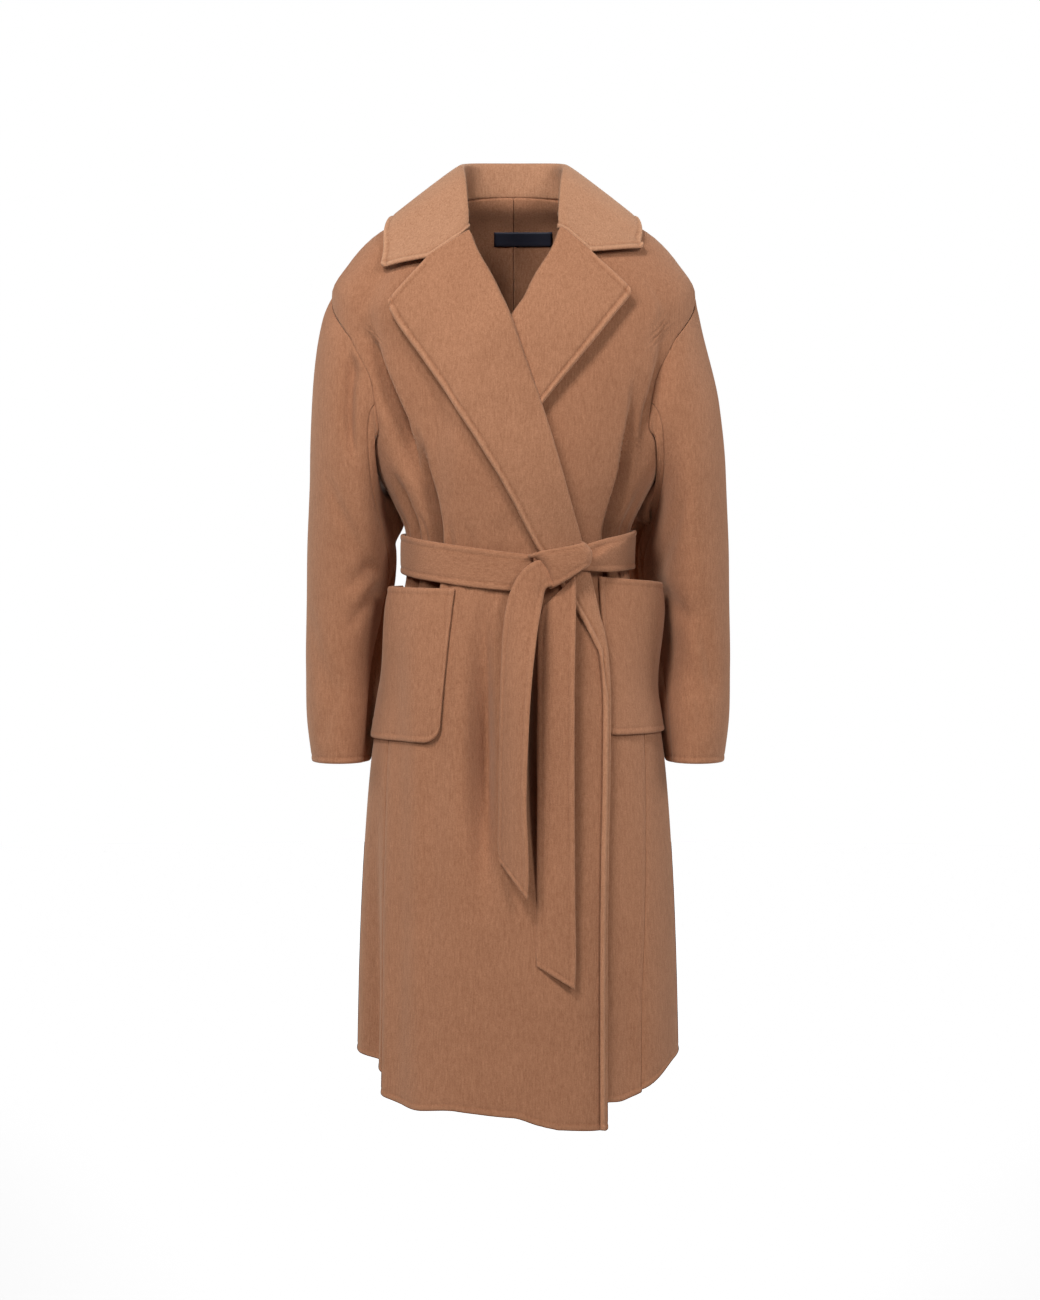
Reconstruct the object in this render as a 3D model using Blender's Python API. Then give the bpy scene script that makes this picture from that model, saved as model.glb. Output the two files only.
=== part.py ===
"""Long belted wrap coat in double-faced wool, hollow as on an unseen wearer.

Metres, +Z up. The front faces -Y and the wearer's left is +X. The origin lies
between the points where the shoulder seams meet the neck seam, where the
wearer's shoulders hold the coat.
"""

from collections import namedtuple

import bmesh
import bpy
import numpy as np

# Cloth and sewing
CLOTH = 0.0028
SEAM_GAP = 0.0003
LAY_GAP = 0.0006
ROLL_RADIUS = 0.0012
TURNED_EDGE = 0.0065
BELT_CLOTH = 0.003
LABEL_CLOTH = 0.001
LABEL_GAP, POCKET_GAP, GORGE_GAP = 0.0015, 0.0018, 0.0016
SECTION_POWER = 2.2
OVER, UNDER = -1, 1

# Rings of the body from the neck seam to the hem. The three heights are at the
# front, side and back of the ring, edge is how far the roll line or front edge
# passes the centre, and lift is how far the upper front stands off the lower
# one. Seams are in degrees from the front: shoulder, armhole, then side seam.
Ring = namedtuple("Ring", "z_front z_side z_back half front back edge lift front_seam back_seam")
RINGS = (
    Ring(-0.082, 0.000, 0.012, 0.0840, 0.098, 0.0660, -0.0523, 0.0000, 90, 90),
    Ring(-0.108, -0.022, -0.018, 0.1300, 0.106, 0.0880, -0.0316, 0.0000, 90, 90),
    Ring(-0.130, -0.046, -0.050, 0.1720, 0.112, 0.1010, -0.0206, 0.0040, 90, 90),
    Ring(-0.155, -0.080, -0.085, 0.2040, 0.117, 0.1090, -0.0098, 0.0095, 90, 90),
    Ring(-0.185, -0.120, -0.125, 0.2260, 0.121, 0.1140, 0.0005, 0.0106, 90, 90),
    Ring(-0.220, -0.170, -0.170, 0.2260, 0.124, 0.1170, 0.0119, 0.0102, 60, 118),
    Ring(-0.258, -0.222, -0.220, 0.2160, 0.126, 0.1170, 0.0243, 0.0098, 54, 124),
    Ring(-0.300, -0.280, -0.275, 0.1980, 0.126, 0.1120, 0.0365, 0.0098, 57, 121),
    Ring(-0.345, -0.338, -0.335, 0.1760, 0.122, 0.1050, 0.0490, 0.0098, 82, 82),
    Ring(-0.380, -0.376, -0.376, 0.1560, 0.116, 0.0970, 0.0588, 0.0085, 80, 80),
    Ring(-0.414, -0.412, -0.412, 0.1405, 0.110, 0.0895, 0.0683, 0.0065, 78, 78),
    Ring(-0.441, -0.440, -0.440, 0.1375, 0.108, 0.0880, 0.0749, 0.0060, 76, 76),
    Ring(-0.471, -0.470, -0.470, 0.1395, 0.109, 0.0900, 0.0818, 0.0065, 74, 74),
    Ring(-0.512, -0.510, -0.510, 0.1485, 0.113, 0.1010, 0.0905, 0.0078, 71, 71),
    Ring(-0.562, -0.560, -0.560, 0.1600, 0.120, 0.1160, 0.1012, 0.0080, 67, 67),
    Ring(-0.625, -0.620, -0.620, 0.1720, 0.128, 0.1330, 0.1045, 0.0080, 63, 63),
    Ring(-0.705, -0.700, -0.700, 0.1840, 0.135, 0.1450, 0.1045, 0.0070, 60, 60),
    Ring(-0.800, -0.795, -0.795, 0.1920, 0.142, 0.1530, 0.1035, 0.0055, 58, 58),
    Ring(-0.900, -0.885, -0.885, 0.1970, 0.148, 0.1600, 0.1030, 0.0055, 57, 57),
    Ring(-1.000, -0.972, -0.970, 0.2000, 0.153, 0.1660, 0.1030, 0.0055, 56, 56),
    Ring(-1.104, -1.060, -1.056, 0.2020, 0.158, 0.1710, 0.1030, 0.0055, 56, 56),
)
SHOULDER_ROW, WAIST_ROW, HEM_ROW = 4.0, 11.0, len(RINGS) - 1.0
UNDER_PULL = (-0.004, 0.0, 0.0, 0.006, 0.012, 0.012, 0.012, 0.008, 0.0, -0.008, -0.010)
UNDER_EDGE_LIFT, UNDER_SEAM_FORWARD, HEM_EASE = 0.0034, 8.0, 0.0020
HEM_RISE_ROW, SEAM_FORWARD_ROW = 17.0, 13.0

# Where the upper front begins to stand off the lower one's edge, and over what width
COVER_FROM, COVER_RUN = 0.055, 0.035
RIDGE_FROM, RIDGE_RUN, RIDGE_ROW, RIDGE_ROWS = 0.050, 0.030, 8.0, 2.0

# How much lower a front's hem hangs than the ring, from its edge to its side
HemDrop = namedtuple("HemDrop", "own_x drop")
HEM_DROPS = {
    OVER: (
        HemDrop(-0.105, 0.0395), HemDrop(-0.047, 0.0278), HemDrop(-0.028, 0.0216), HemDrop(0.005, 0.0110),
        HemDrop(0.072, 0.0086), HemDrop(0.140, 0.0240), HemDrop(0.165, 0.0275),
    ),
    UNDER: (
        HemDrop(-0.050, 0.0000), HemDrop(0.050, 0.0040), HemDrop(0.107, 0.0094), HemDrop(0.130, 0.0160),
        HemDrop(0.148, 0.0158), HemDrop(0.166, 0.0067),
    ),
}
BACK_HEM_DROP, BACK_HEM_REACH = {OVER: 0.0, UNDER: 0.0125}, np.radians(24)

# Free edge of each lapel, a row for each ring: past the centre, and height
LapelEdge = namedtuple("LapelEdge", "past z")
LAPELS = {
    OVER: (
        LapelEdge(-0.1500, -0.141), LapelEdge(-0.1370, -0.163), LapelEdge(-0.1230, -0.184),
        LapelEdge(-0.1080, -0.206), LapelEdge(-0.0920, -0.231), LapelEdge(-0.0755, -0.256),
        LapelEdge(-0.0590, -0.283), LapelEdge(-0.0410, -0.313), LapelEdge(-0.0210, -0.347),
        LapelEdge(-0.0030, -0.381), LapelEdge(0.0115, -0.412), LapelEdge(0.0250, -0.440),
        LapelEdge(0.0430, -0.471), LapelEdge(0.0680, -0.513), LapelEdge(0.0920, -0.560),
    ),
    UNDER: (
        LapelEdge(-0.1417, -0.128), LapelEdge(-0.1270, -0.146), LapelEdge(-0.1120, -0.164),
        LapelEdge(-0.0960, -0.184), LapelEdge(-0.0780, -0.206), LapelEdge(-0.0580, -0.230),
        LapelEdge(-0.0345, -0.258), LapelEdge(-0.0060, -0.294), LapelEdge(0.0300, -0.338),
        LapelEdge(0.0440, -0.380),
    ),
}

# Folds pressed into the body: start, deepest place and end as height and angle
Fold = namedtuple("Fold", "z_start a_start z_deep a_deep z_end a_end width depth")
FOLDS = (
    Fold(-0.170, -50, -0.425, -64, -0.560, -62, 7.0, 0.014),
    Fold(-0.280, -37, -0.430, -41, -0.580, -44, 5.0, 0.016),
    Fold(-0.250, 38, -0.430, 50, -0.560, 52, 5.5, 0.015),
    Fold(-0.330, 66, -0.430, 70, -0.550, 68, 5.0, 0.008),
    Fold(-0.460, -16, -0.600, -12, -0.860, -9, 6.0, 0.009),
    Fold(-0.660, -66, -1.060, -68, -1.300, -68, 8.0, 0.022),
    Fold(-0.700, 40, -1.060, 41, -1.300, 42, 9.0, 0.008),
    Fold(-0.300, 150, -0.430, 152, -0.700, 150, 8.0, 0.011),
    Fold(-0.320, 178, -0.430, 182, -0.720, 184, 7.0, 0.009),
    Fold(-0.300, -148, -0.430, -150, -0.700, -149, 8.0, 0.011),
    Fold(-0.560, 128, -1.060, 126, -1.400, 126, 13.0, 0.015),
    Fold(-0.560, -130, -1.060, -128, -1.400, -128, 13.0, 0.015),
)

# Rings of a sleeve below its armhole: middle height, how much the outer side
# stands above it, and the oval's place and size; blend 0 is the armhole itself
SleeveRing = namedtuple("SleeveRing", "z_mid rise x_mid half_width y_mid half_depth blend")
SLEEVE = (
    SleeveRing(-0.229, 0.109, 0.2000, 0.0260, 0.000, 0.0700, 0.00),
    SleeveRing(-0.272, 0.095, 0.2075, 0.0410, 0.002, 0.0770, 0.55),
    SleeveRing(-0.325, 0.077, 0.2080, 0.0470, 0.006, 0.0780, 0.90),
    SleeveRing(-0.385, 0.050, 0.2067, 0.0533, 0.012, 0.0760, 1.00),
    SleeveRing(-0.445, 0.024, 0.2092, 0.0548, 0.018, 0.0730, 1.00),
    SleeveRing(-0.510, 0.008, 0.2145, 0.0510, 0.020, 0.0690, 1.00),
    SleeveRing(-0.580, 0.000, 0.2215, 0.0450, 0.018, 0.0640, 1.00),
    SleeveRing(-0.645, 0.000, 0.2235, 0.0415, 0.012, 0.0580, 1.00),
    SleeveRing(-0.700, 0.000, 0.2225, 0.0355, 0.006, 0.0515, 1.00),
)
SLEEVE_SEAMS = (112.5, 247.5)
SLEEVE_START, SLEEVE_SEAM_TURN = 0.012, 0.55
UNDERARM_CLEAR, UNDERARM_SPREAD = 0.0046, 125.0

# One sleeve is dented below its shoulder and slack towards the waist
SLEEVE_DENT, DENT_IN_ROW, DENT_OUT_ROW, DENT_OUT_ROWS = {OVER: 0.0, UNDER: 0.011}, 0.8, 2.2, 1.3
SLEEVE_SLACK, SLACK_ROW = {OVER: 0.0, UNDER: 0.0025}, 3.8

# Half of the collar from the centre back to its front end: angle on the neck
# seam, the fold line, and the outer edge as an angle and ring on the body
CollarStation = namedtuple("CollarStation", "neck fold_x fold_y fold_z edge_angle edge_row edge_lift")
COLLAR = (
    CollarStation(180, 0.0000, 0.0755, 0.0532, 180, 1.35, 0.0082),
    CollarStation(148, 0.0385, 0.0685, 0.0522, 142, 1.40, 0.0082),
    CollarStation(118, 0.0590, 0.0420, 0.0477, 112, 1.45, 0.0072),
    CollarStation(90, 0.0645, 0.0065, 0.0403, 90, 1.45, 0.0062),
    CollarStation(68, 0.0618, -0.0285, 0.0219, 66, 1.95, 0.0052),
    CollarStation(53, 0.0572, -0.0557, -0.0135, 59, 2.30, 0.0040),
    CollarStation(45, 0.0552, -0.0761, -0.0465, 55, 2.68, 0.0040),
)
COLLAR_TIP_RISE, COLLAR_TIP_FROM, COLLAR_TIP_TURN = {OVER: 0.0, UNDER: 0.45}, 0.55, 10.0
COLLAR_SET_UP = 0.0014
SEAM_TRIM, SEAM_TRIM_FROM = 0.60, 0.75
STAND_LEAN, STAND_ROLL, STAND_FULL = 0.45, 0.0055, 0.050
FALL_ROLL, FALL_LEAN, FALL_BOW = 0.0070, 0.35, 0.0045
COLLAR_END_FROM, COLLAR_END_POWER = 0.72, 1.5
NOTCH_AT = {OVER: 0.50, UNDER: 0.41}
NOTCH_RISE, NOTCH_ROWS = {OVER: 0.010, UNDER: 0.001}, 3.0
LAPEL_BOW, BOW_ROW, BOW_ROWS = {OVER: 0.0012, UNDER: 0.0}, 6.0, 2.0

# Belt band from beside the knot round the back to its other side
BeltStation = namedtuple("BeltStation", "angle z_mid half_width lift")
BELT = (
    BeltStation(24, -0.4475, 0.0130, 0.0155),
    BeltStation(50, -0.4410, 0.0215, 0.0140),
    BeltStation(90, -0.4350, 0.0245, 0.0085),
    BeltStation(180, -0.4370, 0.0245, 0.0080),
    BeltStation(270, -0.4400, 0.0245, 0.0085),
    BeltStation(310, -0.4480, 0.0245, 0.0135),
    BeltStation(340, -0.4570, 0.0240, 0.0155),
    BeltStation(366, -0.4650, 0.0230, 0.0155),
)

# Knot corners seen from the front: left, top, right, bottom
KnotCorner = namedtuple("KnotCorner", "x z")
KNOT = (
    KnotCorner(0.0120, -0.4404),
    KnotCorner(0.0645, -0.4261),
    KnotCorner(0.0765, -0.4476),
    KnotCorner(0.0382, -0.4847),
)
KNOT_BACK, KNOT_RISE, KNOT_DOME = 0.0162, 0.0075, 0.0110

# Hanging ends of the belt: middle line, half width, slant of the cross line
# down to the wearer's left, twist of that side forward, and lift off the front
TailStation = namedtuple("TailStation", "x z half_width slant twist lift")
TAILS = {
    "belt_tail_front": (
        TailStation(0.0215, -0.4690, 0.0185, 54, 0, 0.0240),
        TailStation(0.0115, -0.4890, 0.0215, 38, 8, 0.0215),
        TailStation(0.0030, -0.5220, 0.0230, 16, 20, 0.0200),
        TailStation(-0.0010, -0.5670, 0.0240, 4, 30, 0.0190),
        TailStation(-0.0030, -0.6400, 0.0240, 0, 36, 0.0180),
        TailStation(-0.0040, -0.7400, 0.0240, 0, 38, 0.0175),
        TailStation(-0.0050, -0.8320, 0.0320, 43, 38, 0.0175),
    ),
    "belt_tail_back": (
        TailStation(0.0490, -0.4870, 0.0190, -40, 0, 0.0165),
        TailStation(0.0450, -0.5060, 0.0215, -12, 0, 0.0165),
        TailStation(0.0432, -0.5380, 0.0230, 0, 2, 0.0160),
        TailStation(0.0428, -0.6200, 0.0235, 0, 4, 0.0140),
        TailStation(0.0432, -0.7600, 0.0235, 0, 4, 0.0125),
        TailStation(0.0436, -0.8600, 0.0235, 0, 4, 0.0120),
        TailStation(0.0436, -0.9480, 0.0272, 31, 4, 0.0120),
    ),
}

# Patch pockets: angles of the two sides, heights, and how far the mouth stands off
Pocket = namedtuple("Pocket", "inner outer z_top z_bottom corner gape gape_at")
POCKETS = {
    "pocket_right": (OVER, Pocket(28.0, 90.0, -0.480, -0.668, 0.020, 0.020, 0.68)),
    "pocket_left": (UNDER, Pocket(36.5, 98.0, -0.472, -0.660, 0.020, 0.031, 0.58)),
}

# Plain woven label inside the neck
LABEL_LEFT, LABEL_RIGHT = -0.0255, 0.0500
LABEL_TOP, LABEL_BOTTOM = -0.0270, -0.0460

# Colours of the cloth and the label
CAMEL, NAVY = (0.39, 0.18, 0.10), (0.012, 0.014, 0.030)

# How finely each piece is cut
YOKE_ROWS, ARMHOLE_ROWS, SKIRT_ROWS = np.linspace(0, 4, 6), np.linspace(4, 8, 9), np.linspace(8, 20, 14)
BODY_ROWS = np.concatenate([YOKE_ROWS, ARMHOLE_ROWS[1:], SKIRT_ROWS[1:]])
PANEL_COLUMNS, BACK_COLUMNS = 15, 11
ROLL_TURNS = (180, 120, 60)
LAPEL_COLUMNS = (1.0, 0.75, 0.5, 0.25)
SLEEVE_ROWS = np.linspace(SLEEVE_START, len(SLEEVE) - 1, 13)
COLLAR_COLUMNS, BELT_COLUMNS, TAIL_ROWS, KNOT_POINTS, LABEL_POINTS = 25, 37, 13, 7, 5
COLLAR_STAND, COLLAR_NOTCH = np.array((0.0, 0.35, 0.7, 0.9)), 0.47
COLLAR_FALL = np.array((0.0, 0.12, 0.3, COLLAR_NOTCH, 0.72, 1.0))
POCKET_ROW, POCKET_GAPE_DEPTH, POCKET_DOWN = 15.0, 0.8, np.linspace(0, 1, 9)
POCKET_ACROSS = np.array((0.0, 0.02, 0.055, 0.11, 0.25, 0.4, 0.55, 0.7, 0.89, 0.945, 0.98, 1.0))


def curve(values):
    """Shape-keeping cubic through a table column, read at fractional rows."""
    v = np.asarray(values, float)
    step = np.diff(v)
    slope = np.zeros_like(v)
    slope[0], slope[-1] = step[0], step[-1]
    for i in range(1, len(v) - 1):
        if step[i - 1] * step[i] > 0:
            slope[i] = 2 * step[i - 1] * step[i] / (step[i - 1] + step[i])

    def at(row):
        row = np.clip(np.asarray(row, float), 0, len(v) - 1)
        i = np.minimum(row.astype(int), len(v) - 2)
        t = row - i
        rise = t * t * (3 - 2 * t)
        lean_in, lean_out = t * (1 - t) ** 2, t * t * (t - 1)
        return v[i] + rise * step[i] + lean_in * slope[i] + lean_out * slope[i + 1]

    return at


def columns(rows):
    """One curve for each named column of a table."""
    names = rows[0]._fields
    return namedtuple("Curves", names)(*(curve([getattr(r, n) for r in rows]) for n in names))


RING = columns(RINGS)
PULL = curve(UNDER_PULL)


def smooth(t):
    t = np.clip(t, 0, 1)
    return t * t * (3 - 2 * t)


def stack(x, y, z):
    return np.stack(np.broadcast_arrays(x, y, z), axis=-1)


def unit(v):
    return v / np.maximum(np.linalg.norm(v, axis=-1, keepdims=True), 1e-12)


def plain_body(angle, row):
    """Smooth outer face of the body, angle 0 at the front and + to the wearer's left."""
    s, c = np.sin(angle), np.cos(angle)
    bend = 2 / SECTION_POWER
    depth = np.where(c > 0, RING.front(row), RING.back(row))
    z_end = np.where(c > 0, RING.z_front(row), RING.z_back(row))
    x = RING.half(row) * np.sign(s) * np.abs(s) ** bend
    y = -depth * np.sign(c) * np.abs(c) ** bend
    return stack(x, y, RING.z_side(row) + (z_end - RING.z_side(row)) * c * c)


def outward(angle, row):
    d = 1e-3
    low, high = np.clip(row - d, 0, HEM_ROW), np.clip(row + d, 0, HEM_ROW)
    along = plain_body(angle + d, row) - plain_body(angle - d, row)
    down = plain_body(angle, high) - plain_body(angle, low)
    return unit(np.cross(down, along))


def fold_depth(angle, z):
    total = 0.0
    for f in FOLDS:
        middle = np.interp(z, (f.z_end, f.z_deep, f.z_start), (f.a_end, f.a_deep, f.a_start))
        grow = smooth((f.z_start - z) / (f.z_start - f.z_deep))
        fade = smooth((z - f.z_end) / (f.z_deep - f.z_end))
        off = (np.degrees(angle) - middle + 180) % 360 - 180
        total = total + f.depth * np.minimum(grow, fade) * np.exp(-((off / f.width) ** 2))
    return total


def skin(angle, row, lift=0.0):
    """Body face with its folds, moved out by lift."""
    base = plain_body(angle, row)
    out = np.asarray(lift) - fold_depth(angle, base[..., 2])
    return base + outward(angle, row) * np.broadcast_to(out, base.shape[:-1])[..., None]


def angle_of(x, row):
    ratio = np.clip(np.abs(x) / RING.half(row), 0, 1) ** (SECTION_POWER / 2)
    return np.sign(x) * np.arcsin(ratio)


def row_at(z, angle_for):
    """Ring row whose face has height z, where angle_for gives the angle for a row."""
    low, high = np.zeros_like(z), np.full_like(z, HEM_ROW)
    for _ in range(40):
        mid = (low + high) / 2
        above = plain_body(angle_for(mid), mid)[..., 2] > z
        low, high = np.where(above, mid, low), np.where(above, high, mid)
    return (low + high) / 2


def front_edge(side, row):
    """How far the roll line or front edge passes the centre."""
    return RING.edge(row) + (PULL(row) if side == UNDER else 0.0)


def front_lift(side, own_x, row):
    """The upper front stands off wherever the lower front lies under it."""
    if side == UNDER:
        return np.zeros_like(own_x)
    past_edge = front_edge(UNDER, row) - own_x
    covered = smooth((COVER_FROM + past_edge) / COVER_RUN)
    ridge = smooth((RIDGE_FROM + past_edge) / RIDGE_RUN) * smooth((RIDGE_FROM - past_edge) / RIDGE_RUN)
    below = smooth((row - RIDGE_ROW) / RIDGE_ROWS)
    return RING.lift(row) * covered + UNDER_EDGE_LIFT * ridge * below


def front_face(side, own_x, z, lift=0.0):
    """Outer face of a front at a place seen from the front."""
    own_x, z = np.broadcast_arrays(np.asarray(own_x, float), np.asarray(z, float))
    row = row_at(z, lambda r: angle_of(own_x, r))
    return skin(side * angle_of(own_x, row), row, lift + front_lift(side, own_x, row))


def near_hem(row):
    return smooth((row - HEM_RISE_ROW) / (HEM_ROW - HEM_RISE_ROW))


def hem_drop(side, points, row):
    """Each front hangs lower than its ring at the hem."""
    table = HEM_DROPS[side]
    drop = np.interp(side * points[..., 0], [h.own_x for h in table], [h.drop for h in table])
    points[..., 2] -= drop * near_hem(row)
    return points


def front_grid(side, inset):
    """A front with its lapel rolled out, from the lapel's free edge to the side."""
    row = BODY_ROWS
    edge = angle_of(-front_edge(side, row), row)
    ease = SEAM_GAP / 2 + HEM_EASE * near_hem(row)
    seam = seam_angle(side, row, RING.front_seam) - ease / RING.half(row)
    own = edge[:, None] + (seam - edge)[:, None] * np.linspace(0, 1, PANEL_COLUMNS)
    rows = np.broadcast_to(row[:, None], own.shape)
    lift = front_lift(side, side * plain_body(side * own, rows)[..., 0], rows)
    panel = skin(side * own, rows, lift)
    out = outward(side * edge, row)
    beyond = panel[:, 0] - panel[:, 1]
    beyond = unit(beyond - out * np.sum(beyond * out, axis=-1, keepdims=True))
    axis = panel[:, 0] + out * ROLL_RADIUS
    radius = ROLL_RADIUS + inset
    turns = [np.radians(t) for t in ROLL_TURNS]
    roll = [axis + radius * (beyond * np.sin(t) - out * np.cos(t)) for t in turns]
    lapel = lapel_grid(side, row, LAPEL_COLUMNS, 2 * ROLL_RADIUS + inset)
    panel = skin(side * own, rows, lift - inset)
    grid = np.concatenate([lapel, np.stack(roll, axis=1), panel], axis=1)
    return hem_drop(side, grid, np.broadcast_to(row[:, None], grid.shape[:2]))


def lapel_line(side, row):
    """Ends of each lapel row seen from the front: roll line, then free edge."""
    table = columns(LAPELS[side])
    edge = front_edge(side, row)
    roll_z = plain_body(angle_of(edge, row), row)[..., 2]
    turned = smooth(row - len(LAPELS[side]) + 1)
    free_x = table.past(row) * (1 - turned) + (edge - TURNED_EDGE) * turned
    free_z = table.z(row) * (1 - turned) + roll_z * turned
    return edge, roll_z, free_x, free_z


def lapel_grid(side, row, shares, lift):
    edge, roll_z, free_x, free_z = lapel_line(side, row)
    t = np.asarray(shares)[None, :]
    past = edge[:, None] + (free_x - edge)[:, None] * t
    z = roll_z[:, None] + (free_z - roll_z)[:, None] * t
    rise = np.interp(t, (0, NOTCH_AT[side], 1), (0, NOTCH_RISE[side], 0))
    z = z + rise * (1 - smooth(row / NOTCH_ROWS))[:, None]
    bow = LAPEL_BOW[side] * np.sin(np.pi * t) * (1 - smooth((row - BOW_ROW) / BOW_ROWS))[:, None]
    return front_face(side, -past, z, lift + bow)


def seam_angle(side, row, column):
    """Shoulder, armhole or side seam; the lower front's side seam runs forward to its hem."""
    share = smooth((row - SEAM_FORWARD_ROW) / (HEM_ROW - SEAM_FORWARD_ROW))
    forward = UNDER_SEAM_FORWARD * share if side == UNDER else 0.0
    return np.radians(column(row) - forward)


def back_grid(side, inset):
    row = BODY_ROWS
    seam = seam_angle(side, row, RING.back_seam) + SEAM_GAP / 2 / RING.half(row)
    centre = np.pi - SEAM_GAP / 2 / RING.half(row)
    own = seam[:, None] + (centre - seam)[:, None] * np.linspace(0, 1, BACK_COLUMNS)
    rows = np.broadcast_to(row[:, None], own.shape)
    grid = skin(side * own, rows, -inset)
    reach = smooth((own - seam[:, None]) / BACK_HEM_REACH)
    grid[..., 2] -= BACK_HEM_DROP[side] * (1 - reach) * near_hem(rows)
    return grid


def armhole(side, turn):
    """Armhole seam, turn 0 at the shoulder, 90 at the front, 180 under the arm."""
    front = turn <= 180
    row = np.where(front, SHOULDER_ROW + turn / 45, SHOULDER_ROW + (360 - turn) / 45)
    seam = np.where(front, RING.front_seam(row), RING.back_seam(row))
    low = smooth(1 - np.abs(turn - 180) / UNDERARM_SPREAD)
    return skin(side * np.radians(seam), row, UNDERARM_CLEAR * low)


def sleeve(side, row, turn):
    """Outer face of a sleeve, from the armhole seam down to the cuff."""
    turn = turn % 360
    ring = columns(SLEEVE)
    angle = np.radians(turn)
    dent = smooth(row / DENT_IN_ROW) * smooth((DENT_OUT_ROW - row) / DENT_OUT_ROWS)
    dent = SLEEVE_DENT[side] * dent * smooth(np.cos(angle))
    slack = SLEEVE_SLACK[side] * np.exp(-((row - SLACK_ROW) ** 2)) * smooth(-np.cos(angle))
    x = side * (ring.x_mid(row) + ring.half_width(row) * np.cos(angle) - dent - slack)
    y = ring.y_mid(row) - ring.half_depth(row) * np.sin(angle)
    tube = stack(x, y, ring.z_mid(row) + ring.rise(row) * np.cos(angle))
    top = armhole(side, turn)
    return top + (tube - top) * ring.blend(row)[..., None]


def sleeve_grid(side, first, last, count):
    """Both faces of a sleeve between two seams, given as turns round it."""
    step = (last - first) / (count - 1)
    turns = np.linspace(first - step, last + step, count + 2)
    turns[1] += SLEEVE_SEAM_TURN
    turns[-2] -= SLEEVE_SEAM_TURN
    row, turn = np.meshgrid(SLEEVE_ROWS, turns, indexing="ij")
    face = sleeve(side, row, turn)
    return face[:, 1:-1], behind(face, side * CLOTH)[:, 1:-1]


def bezier(a, b, c, d, t):
    s = 1 - t
    return a * s ** 3 + 3 * b * s * s * t + 3 * c * s * t * t + d * t ** 3


def collar_line(side, place, stand, fall):
    """One line of the collar from the neck seam over its fold to the outer edge."""
    station = columns(COLLAR)
    row = place * (len(COLLAR) - 1)
    neck = plain_body(side * np.radians(station.neck(row)), np.float64(0))
    fold = stack(side * station.fold_x(row), station.fold_y(row), station.fold_z(row))
    tip = COLLAR_TIP_RISE[side] * smooth((place - COLLAR_TIP_FROM) / (1 - COLLAR_TIP_FROM))
    edge_angle = side * np.radians(station.edge_angle(row) + COLLAR_TIP_TURN * tip)
    edge_row = station.edge_row(row) - tip
    edge = skin(edge_angle, edge_row, station.edge_lift(row))
    out = unit((edge - neck) * np.array((1, 1, 0)))
    seam = neck + np.array((0, 0, COLLAR_SET_UP))
    lean = seam + (fold - seam) * STAND_LEAN
    roll = STAND_ROLL * smooth(np.linalg.norm(fold - seam) / STAND_FULL)
    inside = bezier(seam, lean, fold - out * roll, fold, stand[:, None])
    near = edge + (fold - edge) * FALL_LEAN + outward(edge_angle, edge_row) * FALL_BOW
    outside = bezier(fold, fold + out * FALL_ROLL, near, edge, fall[:, None])
    return inside, outside


def collar_end(side, fall):
    """Front end of the collar: along the gorge seam to the notch, then to the tip."""
    edge, roll_z, free_x, free_z = (v[0] for v in lapel_line(side, np.zeros(1)))
    share = NOTCH_AT[side]
    notch_x = -(edge + (free_x - edge) * share)
    notch_z = roll_z + (free_z - roll_z) * share + NOTCH_RISE[side]
    _, outer = collar_line(side, np.float64(1), np.zeros(1), np.ones(1))
    x = np.interp(fall, (0, COLLAR_NOTCH, 1), (-edge, notch_x, side * outer[0, 0]))
    z = np.interp(fall, (0, COLLAR_NOTCH, 1), (roll_z, notch_z, outer[0, 2])) + GORGE_GAP
    return front_face(side, x, z, 2 * (ROLL_RADIUS + LAY_GAP))


def collar_grid():
    """Under side of the collar, which the wall stands out from."""
    lines = []
    for place in np.linspace(-1, 1, COLLAR_COLUMNS):
        side = UNDER if place > 0 else OVER
        inside, outside = collar_line(side, np.abs(place), COLLAR_STAND, COLLAR_FALL)
        share = np.clip((np.abs(place) - COLLAR_END_FROM) / (1 - COLLAR_END_FROM), 0, 1) ** COLLAR_END_POWER
        _, plain_end = collar_line(side, np.float64(1), COLLAR_STAND, COLLAR_FALL)
        move = (collar_end(side, COLLAR_FALL) - plain_end) * share
        move[0] = 0.0
        lines.append(np.concatenate([inside, outside + move]))
    return np.stack(lines)


def collar_thickness():
    """The stand is trimmed thinner towards its front ends, where it meets the fronts."""
    place = np.abs(np.linspace(-1, 1, COLLAR_COLUMNS))
    at_end = smooth((place - SEAM_TRIM_FROM) / (1 - SEAM_TRIM_FROM))
    low = np.concatenate([1 - COLLAR_STAND, np.zeros_like(COLLAR_FALL)])
    return CLOTH * (1 - SEAM_TRIM * at_end[:, None] * low)


def belt_grid():
    table = columns(BELT)
    row = np.linspace(0, len(BELT) - 1, BELT_COLUMNS)
    z = table.z_mid(row)[:, None] + table.half_width(row)[:, None] * np.array((1.0, 0.0, -1.0))
    angle = np.broadcast_to(np.radians(table.angle(row))[:, None], z.shape)
    lift = np.broadcast_to(table.lift(row)[:, None], z.shape)[..., None]
    waist = np.broadcast_to(WAIST_ROW, z.shape)
    body = row_at(z, lambda r: angle)
    ring = plain_body(angle, waist) + outward(angle, waist) * lift
    close = plain_body(angle, body) + outward(angle, body) * lift
    ring[..., 2] = z
    wider = np.linalg.norm(close[..., :2], axis=-1) > np.linalg.norm(ring[..., :2], axis=-1)
    return np.where(wider[..., None], close, ring)


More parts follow.
